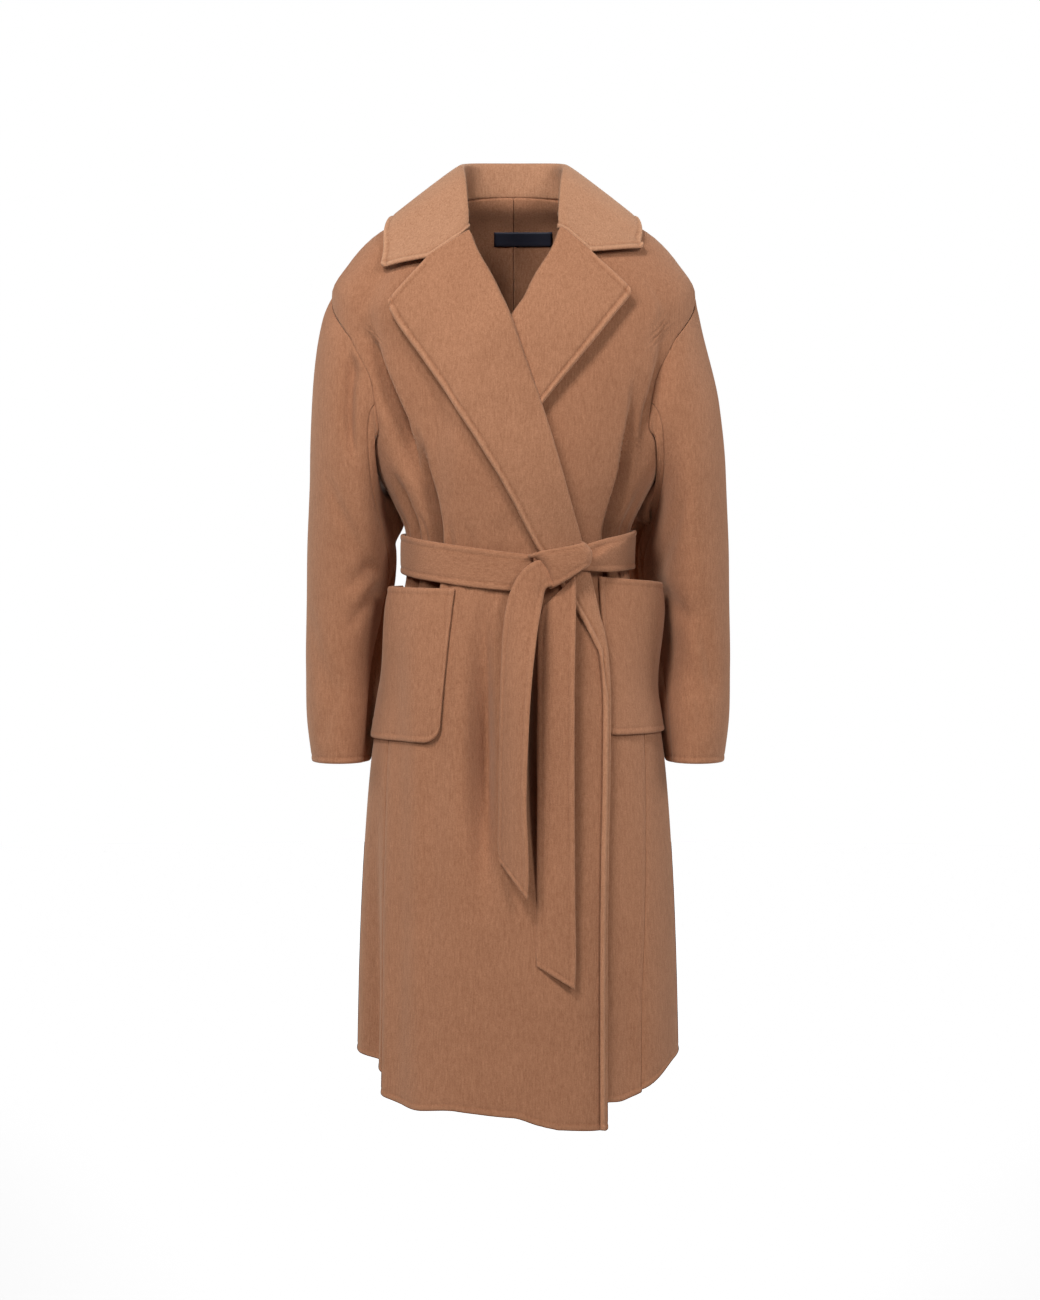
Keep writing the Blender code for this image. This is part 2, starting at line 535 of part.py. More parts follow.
def pocket_grid(side, pocket):
    u, v = POCKET_ACROSS, POCKET_DOWN
    angle = np.radians(pocket.inner + (pocket.outer - pocket.inner) * u)
    reach = np.minimum(np.minimum(u, 1 - u) * np.ptp(angle) * RING.half(POCKET_ROW), pocket.corner)
    rounded = pocket.corner - np.sqrt(pocket.corner ** 2 - (pocket.corner - reach) ** 2)
    bottom = pocket.z_bottom + rounded
    z = pocket.z_top + (bottom - pocket.z_top)[None, :] * v[:, None]
    own = np.broadcast_to(angle[None, :], z.shape)
    row = row_at(z, lambda r: own)
    across = np.where(u < pocket.gape_at, u / pocket.gape_at, (1 - u) / (1 - pocket.gape_at))
    gape = pocket.gape * smooth(across)[None, :] * (1 - smooth(v / POCKET_GAPE_DEPTH))[:, None]
    lift = front_lift(side, plain_body(own, row)[..., 0], row) + CLOTH + POCKET_GAP + gape
    face = plain_body(side * own, row) + outward(side * own, row) * lift[..., None]
    face[..., 2] = z
    return face


def tail_grid(stations):
    table = columns(stations)
    row = np.linspace(0, len(stations) - 1, TAIL_ROWS)
    slant, twist = np.radians(table.slant(row)), np.radians(table.twist(row))
    middle = front_face(OVER, -table.x(row), table.z(row), table.lift(row))
    across = stack(np.cos(slant) * np.cos(twist), -np.cos(slant) * np.sin(twist), -np.sin(slant))
    reach = np.array((-1.0, 0.0, 1.0)) * table.half_width(row)[:, None]
    return middle[:, None, :] + across[:, None, :] * reach[..., None]


def knot_grid(lift, dome):
    left, top, right, bottom = KNOT
    u, v = np.meshgrid(np.linspace(0, 1, KNOT_POINTS), np.linspace(0, 1, KNOT_POINTS))
    x = (1 - v) * ((1 - u) * left.x + u * top.x) + v * ((1 - u) * bottom.x + u * right.x)
    z = (1 - v) * ((1 - u) * left.z + u * top.z) + v * ((1 - u) * bottom.z + u * right.z)
    return front_face(UNDER, x, z, lift + dome * 4 * np.sqrt(u * (1 - u) * v * (1 - v)))


def label_grid(inset):
    x, z = np.meshgrid(np.linspace(LABEL_LEFT, LABEL_RIGHT, LABEL_POINTS), (LABEL_TOP, LABEL_BOTTOM))
    row = row_at(z, lambda r: np.pi - angle_of(x, r))
    angle = np.pi - angle_of(x, row)
    return plain_body(angle, row) - outward(angle, row) * (CLOTH + LABEL_GAP + inset)


def behind(face, thickness):
    """Other side of a wall, square to the grid of its face."""
    normal = unit(np.cross(np.gradient(face, axis=1), np.gradient(face, axis=0)))
    return face - normal * np.broadcast_to(thickness, face.shape[:2])[..., None]


def wool(name, colour):
    material = bpy.data.materials.new(name)
    material.use_nodes = True
    shader = material.node_tree.nodes["Principled BSDF"]
    shader.inputs["Base Color"].default_value = (*colour, 1.0)
    shader.inputs["Roughness"].default_value = 0.95
    return material


def add_wall(name, face, back, colour):
    """Closed cloth wall between two matching grids of points."""
    rows, cols = face.shape[:2]
    bm = bmesh.new()
    bmesh.ops.create_grid(bm, x_segments=cols - 1, y_segments=rows - 1, size=1.0)
    sheet = bmesh.ops.extrude_face_region(bm, geom=bm.faces[:])
    moved = {part for part in sheet["geom"] if isinstance(part, bmesh.types.BMVert)}
    for vert in bm.verts:
        col = round((vert.co.x + 1) / 2 * (cols - 1))
        row = round((vert.co.y + 1) / 2 * (rows - 1))
        vert.co = (back if vert in moved else face)[row, col]
    bmesh.ops.recalc_face_normals(bm, faces=bm.faces)
    mesh = bpy.data.meshes.new(name)
    bm.to_mesh(mesh)
    bm.free()
    mesh.materials.append(wool(f"{name}_cloth", colour))
    coat.objects.link(bpy.data.objects.new(name, mesh))


for old in list(bpy.data.objects):
    bpy.data.objects.remove(old, do_unlink=True)
coat = bpy.data.collections.new("long_coat")
bpy.context.scene.collection.children.link(coat)
for side, name in ((OVER, "front_over"), (UNDER, "front_under")):
    add_wall(name, front_grid(side, 0.0), front_grid(side, CLOTH), CAMEL)
for side, hand in ((OVER, "right"), (UNDER, "left")):
    add_wall(f"back_{hand}", back_grid(side, 0.0), back_grid(side, CLOTH), CAMEL)
    first, last = SLEEVE_SEAMS
    spans = (("sleeve_top", last - 360, first, 11), ("sleeve_under", first, last, 7))
    for name, start, end, count in spans:
        add_wall(f"{name}_{hand}", *sleeve_grid(side, start, end, count), CAMEL)
add_wall("collar", collar_grid(), behind(collar_grid(), collar_thickness()), CAMEL)
for name, (side, pocket) in POCKETS.items():
    face = pocket_grid(side, pocket)
    add_wall(name, face, behind(face, CLOTH * -side), CAMEL)
add_wall("belt_band", belt_grid(), behind(belt_grid(), BELT_CLOTH), CAMEL)
add_wall("belt_knot", knot_grid(KNOT_BACK + KNOT_RISE, KNOT_DOME), knot_grid(KNOT_BACK, 0.0), CAMEL)
for name, stations in TAILS.items():
    face = tail_grid(stations)
    add_wall(name, face, behind(face, -BELT_CLOTH), CAMEL)
add_wall("neck_label", label_grid(0.0), label_grid(LABEL_CLOTH), NAVY)
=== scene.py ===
"""Looks of the long belted wrap coat: brushed wool shells with folds, rolled edges and stitching.

Metres, +Z up, the front faces -Y and the wearer's left is +X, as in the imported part.
"""

from collections import namedtuple

import bpy
import numpy as np
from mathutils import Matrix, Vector


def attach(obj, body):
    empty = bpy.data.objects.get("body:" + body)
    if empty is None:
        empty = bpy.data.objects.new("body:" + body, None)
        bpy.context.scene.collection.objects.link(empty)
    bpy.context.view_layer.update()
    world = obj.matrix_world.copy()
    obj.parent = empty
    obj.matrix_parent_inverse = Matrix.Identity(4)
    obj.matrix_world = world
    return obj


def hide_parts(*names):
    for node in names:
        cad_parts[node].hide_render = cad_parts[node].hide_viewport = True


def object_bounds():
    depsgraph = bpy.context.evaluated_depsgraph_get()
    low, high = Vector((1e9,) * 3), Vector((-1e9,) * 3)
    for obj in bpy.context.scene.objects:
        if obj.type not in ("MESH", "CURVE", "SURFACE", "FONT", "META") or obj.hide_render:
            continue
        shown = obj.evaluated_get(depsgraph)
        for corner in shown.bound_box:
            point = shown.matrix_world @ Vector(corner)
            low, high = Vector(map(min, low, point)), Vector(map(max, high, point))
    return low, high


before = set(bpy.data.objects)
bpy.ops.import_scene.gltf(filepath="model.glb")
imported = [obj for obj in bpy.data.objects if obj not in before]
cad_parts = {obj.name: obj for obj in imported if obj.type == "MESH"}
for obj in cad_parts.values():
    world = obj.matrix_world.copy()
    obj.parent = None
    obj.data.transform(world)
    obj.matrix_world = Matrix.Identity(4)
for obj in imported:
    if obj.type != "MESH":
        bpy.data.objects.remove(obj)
cad_box = [list(corner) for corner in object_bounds()]


def named_rows(fields, *rows):
    """Rows of values under the same names."""
    row = namedtuple("Row", fields)
    return tuple(row(*values) for values in rows)


# Cloth and sewing
CLOTH, BELT_CLOTH, LABEL_CLOTH = 0.0028, 0.0030, 0.0010
LABEL_GAP, POCKET_GAP, GORGE_GAP = 0.0005, 0.0018, -0.0006
TURNED_EDGE = 0.0065
SECTION_POWER = 2.2
OVER, UNDER = -1, 1

# How borders of a piece are finished: a stitched turned edge, a plain turned edge, a seam or a cut
FREE, TURNED, SEAM, RAW = "free", "turned", "seam", "raw"
EDGE_ROUND = {FREE: 0.0028, TURNED: 0.0024, SEAM: 0.0006, RAW: 0.0008}
EDGE_SWELL, EDGE_SWELL_AT, EDGE_SWELL_WIDTH = {FREE: 0.85, TURNED: 0.30}, 0.0036, 0.0028
STITCH_PINCH, STITCH_AT, STITCH_WIDTH = {FREE: 0.66, TURNED: 0.24}, 0.0080, 0.0018
PUCKER, PUCKER_LONG, PUCKER_SHORT = 0.30, 0.047, 0.019
SEAM_SINK, SEAM_WIDTH = 0.0009, 0.0042
NEAR_EDGE = np.array((
    0.0, 0.0004, 0.0010, 0.0018, 0.0028, 0.0040, 0.0052,
    0.0063, 0.0072, 0.0080, 0.0088, 0.0098, 0.0114, 0.0136,
))
NEAR_SEAM = np.array((0.0, 0.0005, 0.0012, 0.0022, 0.0036, 0.0055, 0.0080))

# Rings of the body from the neck seam to the hem, as in the solids
RINGS = named_rows(
    "z_front z_side z_back half front back edge lift front_seam back_seam",
    (-0.082, 0.000, 0.012, 0.0840, 0.098, 0.0660, -0.0523, 0.0000, 90, 90),
    (-0.108, -0.022, -0.018, 0.1300, 0.106, 0.0880, -0.0316, 0.0000, 90, 90),
    (-0.130, -0.046, -0.050, 0.1720, 0.112, 0.1010, -0.0206, 0.0040, 90, 90),
    (-0.155, -0.080, -0.085, 0.2040, 0.117, 0.1090, -0.0098, 0.0095, 90, 90),
    (-0.185, -0.120, -0.125, 0.2260, 0.121, 0.1140, 0.0005, 0.0106, 90, 90),
    (-0.220, -0.170, -0.170, 0.2260, 0.124, 0.1170, 0.0119, 0.0102, 60, 118),
    (-0.258, -0.222, -0.220, 0.2160, 0.126, 0.1170, 0.0243, 0.0098, 54, 124),
    (-0.300, -0.280, -0.275, 0.1980, 0.126, 0.1120, 0.0365, 0.0098, 57, 121),
    (-0.345, -0.338, -0.335, 0.1760, 0.122, 0.1050, 0.0490, 0.0098, 82, 82),
    (-0.380, -0.376, -0.376, 0.1560, 0.116, 0.0970, 0.0588, 0.0085, 80, 80),
    (-0.414, -0.412, -0.412, 0.1405, 0.110, 0.0895, 0.0683, 0.0065, 78, 78),
    (-0.441, -0.440, -0.440, 0.1375, 0.108, 0.0880, 0.0749, 0.0060, 76, 76),
    (-0.471, -0.470, -0.470, 0.1395, 0.109, 0.0900, 0.0818, 0.0065, 74, 74),
    (-0.512, -0.510, -0.510, 0.1485, 0.113, 0.1010, 0.0905, 0.0078, 71, 71),
    (-0.562, -0.560, -0.560, 0.1600, 0.120, 0.1160, 0.1012, 0.0080, 67, 67),
    (-0.625, -0.620, -0.620, 0.1720, 0.128, 0.1330, 0.1045, 0.0080, 63, 63),
    (-0.705, -0.700, -0.700, 0.1840, 0.135, 0.1450, 0.1045, 0.0070, 60, 60),
    (-0.800, -0.795, -0.795, 0.1920, 0.142, 0.1530, 0.1035, 0.0055, 58, 58),
    (-0.900, -0.885, -0.885, 0.1970, 0.148, 0.1600, 0.1030, 0.0055, 57, 57),
    (-1.000, -0.972, -0.970, 0.2000, 0.153, 0.1660, 0.1030, 0.0055, 56, 56),
    (-1.104, -1.060, -1.056, 0.2020, 0.158, 0.1710, 0.1030, 0.0055, 56, 56),
)
SHOULDER_ROW, WAIST_ROW, HEM_ROW = 4.0, 11.0, len(RINGS) - 1.0
UNDER_PULL = (-0.004, 0.0, 0.0, 0.006, 0.012, 0.012, 0.012, 0.008, 0.0, -0.008, -0.010)
UNDER_EDGE_LIFT, UNDER_SEAM_FORWARD = 0.0034, 8.0
HEM_RISE_ROW, SEAM_FORWARD_ROW = 17.0, 13.0
COVER_FROM, COVER_RUN = 0.055, 0.035
RIDGE_FROM, RIDGE_RUN, RIDGE_ROW, RIDGE_ROWS = 0.050, 0.030, 8.0, 2.0

# How much lower a front's hem hangs than the ring, from its edge to its side
HEM_DROP = "own_x drop"
HEM_DROPS = {
    OVER: named_rows(
        HEM_DROP,
        (-0.105, 0.0395), (-0.047, 0.0278), (-0.028, 0.0216), (0.005, 0.011),
        (0.072, 0.0086), (0.14, 0.024), (0.165, 0.0275),
    ),
    UNDER: named_rows(
        HEM_DROP,
        (-0.05, 0.0000), (0.05, 0.004), (0.107, 0.0094), (0.13, 0.016),
        (0.148, 0.0158), (0.166, 0.0067),
    ),
}
BACK_HEM_DROP, BACK_HEM_REACH = {OVER: 0.0, UNDER: 0.0125}, np.radians(24)

# Free edge of each lapel, a row for each ring: past the centre, and height
LAPEL_EDGE = "past z"
LAPELS = {
    OVER: named_rows(
        LAPEL_EDGE,
        (-0.15, -0.141), (-0.137, -0.163), (-0.123, -0.184),
        (-0.108, -0.206), (-0.092, -0.231), (-0.0755, -0.256),
        (-0.059, -0.283), (-0.041, -0.313), (-0.021, -0.347),
        (-0.003, -0.381), (0.0115, -0.412), (0.025, -0.44),
        (0.043, -0.471), (0.068, -0.513), (0.092, -0.56),
    ),
    UNDER: named_rows(
        LAPEL_EDGE,
        (-0.1417, -0.128), (-0.127, -0.146), (-0.112, -0.164),
        (-0.096, -0.184), (-0.078, -0.206), (-0.058, -0.23),
        (-0.0345, -0.258), (-0.006, -0.294), (0.03, -0.338),
        (0.044, -0.38),
    ),
}
LAPEL_CORNER, COLLAR_CORNER = 0.012, 0.012
LAPEL_BOW, LAPEL_STAND, LAPEL_STAND_FROM = {OVER: 0.0035, UNDER: 0.0030}, 0.004, 0.45
LAPEL_FULL, LAPEL_SQUEEZE = 0.05, 1.4
ROLL_TIGHT, ROLL_SOFT, ROLL_FROM, ROLL_ROWS = 0.0012, 0.0026, 3.0, 7.0

# Folds of the body: start, deepest place and end as height and angle, widths in degrees, and depth
FOLD = "z_start a_start z_deep a_deep z_end a_end right left depth"
FOLDS = named_rows(
    FOLD,
    (-0.145, -51, -0.278, -42, -0.37, -47, 6.5, 2.4, 0.04),
    (0.01, -60, -0.16, -51, -0.27, -44, 7.0, 6.5, 0.009),
    (-0.33, -58, -0.42, -63, -0.56, -63, 4.5, 3.0, 0.018),
    (-0.27, -36, -0.425, -40, -0.58, -43, 6.5, 1.9, 0.05),
    (-0.21, 38, -0.425, 50, -0.56, 51, 2.0, 7.5, 0.054),
    (-0.08, 53, -0.265, 51, -0.4, 63, 2.8, 9.0, 0.012),
    (-0.33, 66, -0.43, 70, -0.55, 68, 5.0, 5.0, 0.008),
    (-0.47, -14, -0.68, -11, -0.9, -9, 5.0, 3.2, 0.032),
    (-0.66, -66, -1.06, -68, -1.3, -68, 8.0, 8.0, 0.022),
    (-0.7, 40, -1.06, 41, -1.3, 42, 9.0, 9.0, 0.008),
    (-0.3, 150, -0.43, 152, -0.7, 150, 8.0, 8.0, 0.011),
    (-0.32, 178, -0.43, 182, -0.72, 184, 7.0, 7.0, 0.009),
    (-0.3, -148, -0.43, -150, -0.7, -149, 8.0, 8.0, 0.011),
    (-0.56, 128, -1.06, 126, -1.4, 126, 13.0, 13.0, 0.015),
    (-0.56, -130, -1.06, -128, -1.4, -128, 13.0, 13.0, 0.015),
)

# Small creases where the belt gathers the cloth, and soft drags elsewhere
CREASES = named_rows(
    FOLD,
    (-0.385, -53, -0.425, -53, -0.5, -54, 1.6, 1.6, 0.004),
    (-0.395, -31, -0.425, -32, -0.52, -32, 2.0, 2.0, 0.0035),
    (-0.37, -74, -0.43, -76, -0.52, -75, 3.0, 2.0, 0.005),
    (-0.4, -20, -0.43, -21, -0.56, -22, 2.4, 2.4, 0.003),
    (-0.38, 61, -0.43, 62, -0.52, 61, 1.6, 2.4, 0.004),
    (-0.37, 84, -0.43, 86, -0.52, 85, 2.6, 2.6, 0.005),
    (-0.36, 104, -0.43, 104, -0.56, 103, 4.0, 3.0, 0.007),
    (-0.34, 124, -0.43, 125, -0.6, 124, 3.5, 5.0, 0.009),
    (-0.37, 138, -0.43, 139, -0.54, 140, 2.0, 2.0, 0.005),
    (-0.35, 165, -0.43, 166, -0.6, 167, 4.0, 3.0, 0.008),
    (-0.35, -165, -0.43, -166, -0.58, -166, 3.0, 4.0, 0.008),
    (-0.37, -137, -0.43, -138, -0.54, -139, 2.2, 2.2, 0.005),
    (-0.34, -122, -0.43, -123, -0.62, -122, 5.0, 3.5, 0.009),
    (-0.36, -102, -0.43, -103, -0.56, -103, 3.0, 4.0, 0.007),
    (-0.47, 8, -0.66, 6, -0.89, 5, 4.0, 8.0, 0.042),
    (-0.47, 11, -0.64, 10, -0.86, 7, 3.0, 3.5, 0.024),
    (-0.5, -30, -0.78, -30, -1.2, -32, 7.0, 6.0, 0.0045),
    (-0.76, 30, -0.98, 31, -1.3, 31, 6.0, 6.0, 0.0035),
    (-0.8, -44, -1.02, -47, -1.3, -48, 6.0, 6.0, 0.004),
    (-0.56, 155, -0.9, 158, -1.4, 160, 9.0, 7.0, 0.01),
    (-0.56, -157, -0.9, -160, -1.4, -162, 7.0, 9.0, 0.01),
    (-0.6, 96, -0.98, 96, -1.4, 97, 8.0, 8.0, 0.008),
    (-0.6, -98, -0.98, -99, -1.4, -99, 8.0, 8.0, 0.008),
    (-0.09, 150, -0.2, 146, -0.33, 140, 9.0, 9.0, 0.005),
    (-0.09, -150, -0.2, -146, -0.33, -140, 9.0, 9.0, 0.005),
)

# Rings of a sleeve below its armhole, as in the solids
SLEEVE = named_rows(
    "z_mid rise x_mid half_width y_mid half_depth blend",
    (-0.229, 0.109, 0.2000, 0.0260, 0.000, 0.0700, 0.00),
    (-0.272, 0.095, 0.2075, 0.0410, 0.002, 0.0770, 0.55),
    (-0.325, 0.077, 0.2080, 0.0470, 0.006, 0.0780, 0.90),
    (-0.385, 0.050, 0.2067, 0.0533, 0.012, 0.0760, 1.00),
    (-0.445, 0.024, 0.2092, 0.0548, 0.018, 0.0730, 1.00),
    (-0.510, 0.008, 0.2145, 0.0510, 0.020, 0.0690, 1.00),
    (-0.580, 0.000, 0.2215, 0.0450, 0.018, 0.0640, 1.00),
    (-0.645, 0.000, 0.2235, 0.0415, 0.012, 0.0580, 1.00),
    (-0.700, 0.000, 0.2225, 0.0355, 0.006, 0.0515, 1.00),
)
SLEEVE_SEAMS, FOREARM_TURN, FOREARM_ROWS = (112.5, 247.5), 40.0, 4.5
SLEEVE_START, UNDERARM_CLEAR, UNDERARM_SPREAD = 0.001, 0.0046, 125.0
SLEEVE_DENT, DENT_IN_ROW, DENT_OUT_ROW, DENT_OUT_ROWS = {OVER: 0.0, UNDER: 0.011}, 0.8, 2.2, 1.3
SLEEVE_SLACK, SLACK_ROW = {OVER: 0.0, UNDER: 0.0025}, 3.8

# Inner front of each sleeve falls back beside the body: depth, turn and spread
Hollow = namedtuple("Hollow", "depth turn spread")
HOLLOWS = {OVER: Hollow(0.034, 160.0, 26.0), UNDER: Hollow(0.072, 150.0, 38.0)}
HOLLOW_FROM, HOLLOW_IN, HOLLOW_TO, HOLLOW_OUT = 0.7, 1.8, 7.0, 2.2

# Creases of a sleeve: a line between two places, as row and turn, its width and depth
SLEEVE_CREASES = named_rows(
    "side row_a turn_a row_b turn_b width depth",
    (OVER, 0.5, 66, 1.9, 90, 0.011, 0.011),
    (OVER, 4.2, 164, 7.6, 164, 0.01, 0.01),
    (OVER, 2.9, 62, 4.2, 128, 0.012, 0.0035),
    (OVER, 3.9, 128, 4.6, 92, 0.01, 0.004),
    (OVER, 4.4, 140, 5.3, 100, 0.01, 0.0035),
    (OVER, 5.2, 30, 6.6, 84, 0.016, 0.003),
    (OVER, 6.2, 96, 7.4, 60, 0.014, 0.003),
    (OVER, 1.2, 250, 3.4, 215, 0.018, 0.006),
    (OVER, 3.6, 230, 4.8, 265, 0.013, 0.0045),
    (OVER, 4.6, 225, 5.6, 280, 0.013, 0.004),
    (OVER, 1.4, 200, 2.6, 202, 0.028, -0.019),
    (OVER, 5.6, 206, 7.8, 206, 0.03, -0.011),
    (UNDER, 1.3, 208, 4.8, 214, 0.038, -0.025),
    (UNDER, 5.6, 206, 7.8, 206, 0.03, -0.012),
    (UNDER, 2.7, 96, 4.2, 132, 0.013, 0.005),
    (UNDER, 4.9, 84, 6.4, 64, 0.016, 0.0055),
    (UNDER, 4.2, 140, 5.2, 96, 0.011, 0.004),
    (UNDER, 6.0, 100, 7.2, 82, 0.014, 0.0035),
    (UNDER, 1.2, 252, 3.4, 214, 0.018, 0.006),
    (UNDER, 3.7, 228, 4.9, 262, 0.013, 0.0045),
    (UNDER, 4.7, 226, 5.7, 282, 0.013, 0.004),
)
SLEEVE_ROW_LENGTH, SLEEVE_TURN_LENGTH = 0.06, 0.0011
TOP_ROW_LENGTH, CUFF_ROW_LENGTH, CREASE_TAPER = 0.05, 0.055, 2.5
SQUARE_ROWS, SQUARE_TURN, SHEAR_LIMIT, SLEEVE_TUCK, SINK_ROWS = 0.35, 9.0, 0.8, 0.004, 0.25

# Half of the collar from the centre back to its front end, as in the solids
COLLAR = named_rows(
    "neck fold_x fold_y fold_z edge_angle edge_row edge_lift",
    (180, 0.0000, 0.0755, 0.0532, 180, 1.35, 0.0082),
    (148, 0.0385, 0.0685, 0.0522, 142, 1.40, 0.0082),
    (118, 0.0590, 0.0420, 0.0477, 112, 1.45, 0.0072),
    (90, 0.0645, 0.0065, 0.0403, 90, 1.45, 0.0062),
    (68, 0.0618, -0.0285, 0.0219, 66, 1.95, 0.0052),
    (53, 0.0572, -0.0557, -0.0135, 59, 2.30, 0.0040),
    (45, 0.0552, -0.0761, -0.0465, 55, 2.68, 0.0040),
)
COLLAR_TIP_RISE, COLLAR_TIP_FROM, COLLAR_TIP_TURN = {OVER: 0.0, UNDER: 0.45}, 0.55, 10.0
COLLAR_SET_UP, COLLAR_OVER, COLLAR_LAP, COLLAR_LAP_RUN = 0.0004, 0.0004, 0.0034, 0.62
STAND_LEAN, STAND_ROLL, STAND_FULL = 0.45, 0.0055, 0.050
FALL_ROLL, FALL_LEAN, FALL_BOW = 0.0060, 0.35, 0.0025
COLLAR_END_FROM, COLLAR_END_POWER, COLLAR_END_FALL, COLLAR_NOTCH = 0.72, 1.5, 0.12, 0.47
COLLAR_HALF, FALL_LENGTH = 0.16, 0.075
NOTCH_AT = {OVER: 0.50, UNDER: 0.41}
NOTCH_RISE, NOTCH_ROWS, NOTCH_BLEND = {OVER: 0.010, UNDER: 0.001}, 3.0, 0.06

# Belt band from beside the knot round the back to its other side
BELT = named_rows(
    "angle z_mid half_width lift",
    (24, -0.4475, 0.013, 0.0155),
    (50, -0.441, 0.0215, 0.014),
    (90, -0.435, 0.0245, 0.0085),
    (180, -0.437, 0.0245, 0.008),
    (270, -0.44, 0.0245, 0.0085),
    (310, -0.448, 0.0245, 0.0135),
    (340, -0.457, 0.024, 0.0155),
    (366, -0.465, 0.023, 0.0155),
)

# Fold in the band beside the knot: where it runs across the band, and its height
BELT_FOLD = named_rows(
    "angle share height",
    (24, -0.4, 0.005), (31, -0.26, 0.005), (45, 0.33, 0.0045),
    (80, 0.89, 0.002), (110, 1.00, 0.0),
)
BELT_FOLD_ABOVE, BELT_FOLD_BELOW, BELT_WAVE, BELT_WAVE_TURN = 0.3, 0.8, 0.0007, 7.0
BELT_WIDTH, TAIL_WIDTH, TAIL_ROW_LENGTH = 0.049, 0.048, 0.09

# Sides of the knot seen from the front, each from its top to its bottom
KNOT_POINT = "x z"
KNOT_LEFT = named_rows(
    KNOT_POINT,
    (0.012, -0.4415), (0.022, -0.445), (0.0308, -0.4565),
    (0.0358, -0.469), (0.0382, -0.4847),
)
KNOT_RIGHT = named_rows(
    KNOT_POINT,
    (0.068, -0.4255), (0.0735, -0.4325), (0.076, -0.4405),
    (0.0757, -0.4475), (0.073, -0.455),
)
KNOT_BACK, KNOT_HEIGHT, KNOT_CURL = 0.0165, 0.0165, 0.16
KNOT_SIDE, KNOT_DOME, KNOT_DROOP = 0.45, 5, 0.18

# Hanging ends of the belt, on the solids' lines and twisted as they hang
TAIL_STATION = "x z half_width slant twist lift"
TAILS = {
    "belt_tail_front": named_rows(
        TAIL_STATION,
        (0.0345, -0.4632, 0.018, 68, 0, 0.0215),
        (0.0215, -0.469, 0.018, 52, 0, 0.025),
        (0.0118, -0.489, 0.0215, 36, 8, 0.0255),
        (0.004, -0.522, 0.023, 14, 22, 0.027),
        (-0.0005, -0.567, 0.024, 4, 34, 0.028),
        (-0.0045, -0.64, 0.024, 0, 42, 0.027),
        (-0.0068, -0.74, 0.024, 0, 46, 0.0235),
        (-0.0055, -0.832, 0.031, 43, 42, 0.0195),
    ),
    "belt_tail_back": named_rows(
        TAIL_STATION,
        (0.05, -0.482, 0.019, -46, 0, 0.015),
        (0.045, -0.506, 0.0215, -12, 6, 0.013),
        (0.043, -0.538, 0.024, 0, 18, 0.011),
        (0.0426, -0.62, 0.025, 0, 27, 0.008),
        (0.043, -0.76, 0.0248, 0, 24, 0.007),
        (0.0436, -0.86, 0.0237, 0, 11, 0.007),
        (0.0436, -0.948, 0.0272, 31, 5, 0.0065),
    ),
}
TAIL_CUP, TAIL_CUP_ROWS = {"belt_tail_front": 0.004, "belt_tail_back": 0.0015}, 2

# Patch pockets: angles of the two sides, heights, and how far the mouth stands off
Pocket = namedtuple("Pocket", "inner flare outer z_top slant z_bottom corner gape gape_at")
POCKETS = {
    "pocket_right": (OVER, Pocket(28.0, 0.0, 90.0, -0.481, 0.003, -0.668, 0.020, 0.022, 0.70)),
    "pocket_left": (UNDER, Pocket(37.5, 4.8, 98.0, -0.473, -0.010, -0.660, 0.020, 0.036, 0.80)),
}
POCKET_ROW, POCKET_GAPE_DEPTH = 15.0, 0.8

# Turned seam below the collar, and the plain woven label inside the neck
NECK_FILL, NECK_FILL_ROW, NECK_FILL_TURN = 0.0060, 0.45, 1.5
LABEL_LEFT, LABEL_RIGHT = -0.0255, 0.0500
LABEL_TOP, LABEL_BOTTOM = -0.0270, -0.0460

# Lean of the shoulders
LEAN, LEAN_FROM, LEAN_RUN = -0.0055, -0.36, 0.20

# How finely each piece is cut
ROW_STEP, ROW_SAMPLES, HALVINGS = 0.0062, 400, 40
PANEL_WIDTH = 0.25
LAPEL_STEPS, ROLL_STEPS, PANEL_STEPS, BACK_STEPS = 22, 9, 128, 66
SLEEVE_ROW_STEPS, SLEEVE_TURN_STEP = 118, 3.6
COLLAR_STEPS, STAND_STEPS, FALL_STEPS = 150, 16, 30
BELT_STEPS, BELT_ACROSS, TAIL_STEPS, TAIL_ACROSS = 260, 12, 120, 12
POCKET_STEPS, KNOT_STEPS, LABEL_STEPS = 60, 40, (24, 10)

# Brushed wool: its surface, its noises with their shares in the colour, and the nap along its grain
WOOL_SURFACE = {
    "Roughness": 0.93, "Specular IOR Level": 0.12,
    "Sheen Weight": 0.22, "Sheen Roughness": 0.55, "Sheen Tint": (1.0, 0.80, 0.62, 1.0),
}
WOOL_NOISES = named_rows(
    "along_nap scale detail share",
    (False, 11.0, 3.0, 0.28), (False, 150.0, 4.0, 0.30), (True, 1.0, 3.0, 0.95), (False, 620.0, 2.0, 0.95),
)
NOISE_ROUGHNESS, MOTTLE_SPAN, NAP_STRENGTH, NAP_HEIGHT = 0.6, 0.55, 0.45, 0.0012
NAP_DOWN, NAP_ACROSS = (520.0, 520.0, 80.0), (110.0, 520.0, 520.0)
NODE_STEP = 200

# How much lighter the wool is painted where an edge swells, a painted highlight, and darker along its
# stitches, a painted shade
EDGE_PAINTED_LIGHT_AND_SHADE = 0.34

# Darkest and lightest colour of the wool: on its face; on its reverse, painted lighter for light on the
# turned lapels; and on the collar, painted lighter still for the light it catches
CAMEL = (0.232, 0.092, 0.044), (0.474, 0.224, 0.124)
# Reverse face: the cloth's other face, its colour painted about 8% lighter than the face, painted light on
# the turned lapels
CAMEL_REVERSE_PAINTED_LIGHTER = (0.250, 0.102, 0.049), (0.508, 0.247, 0.139)
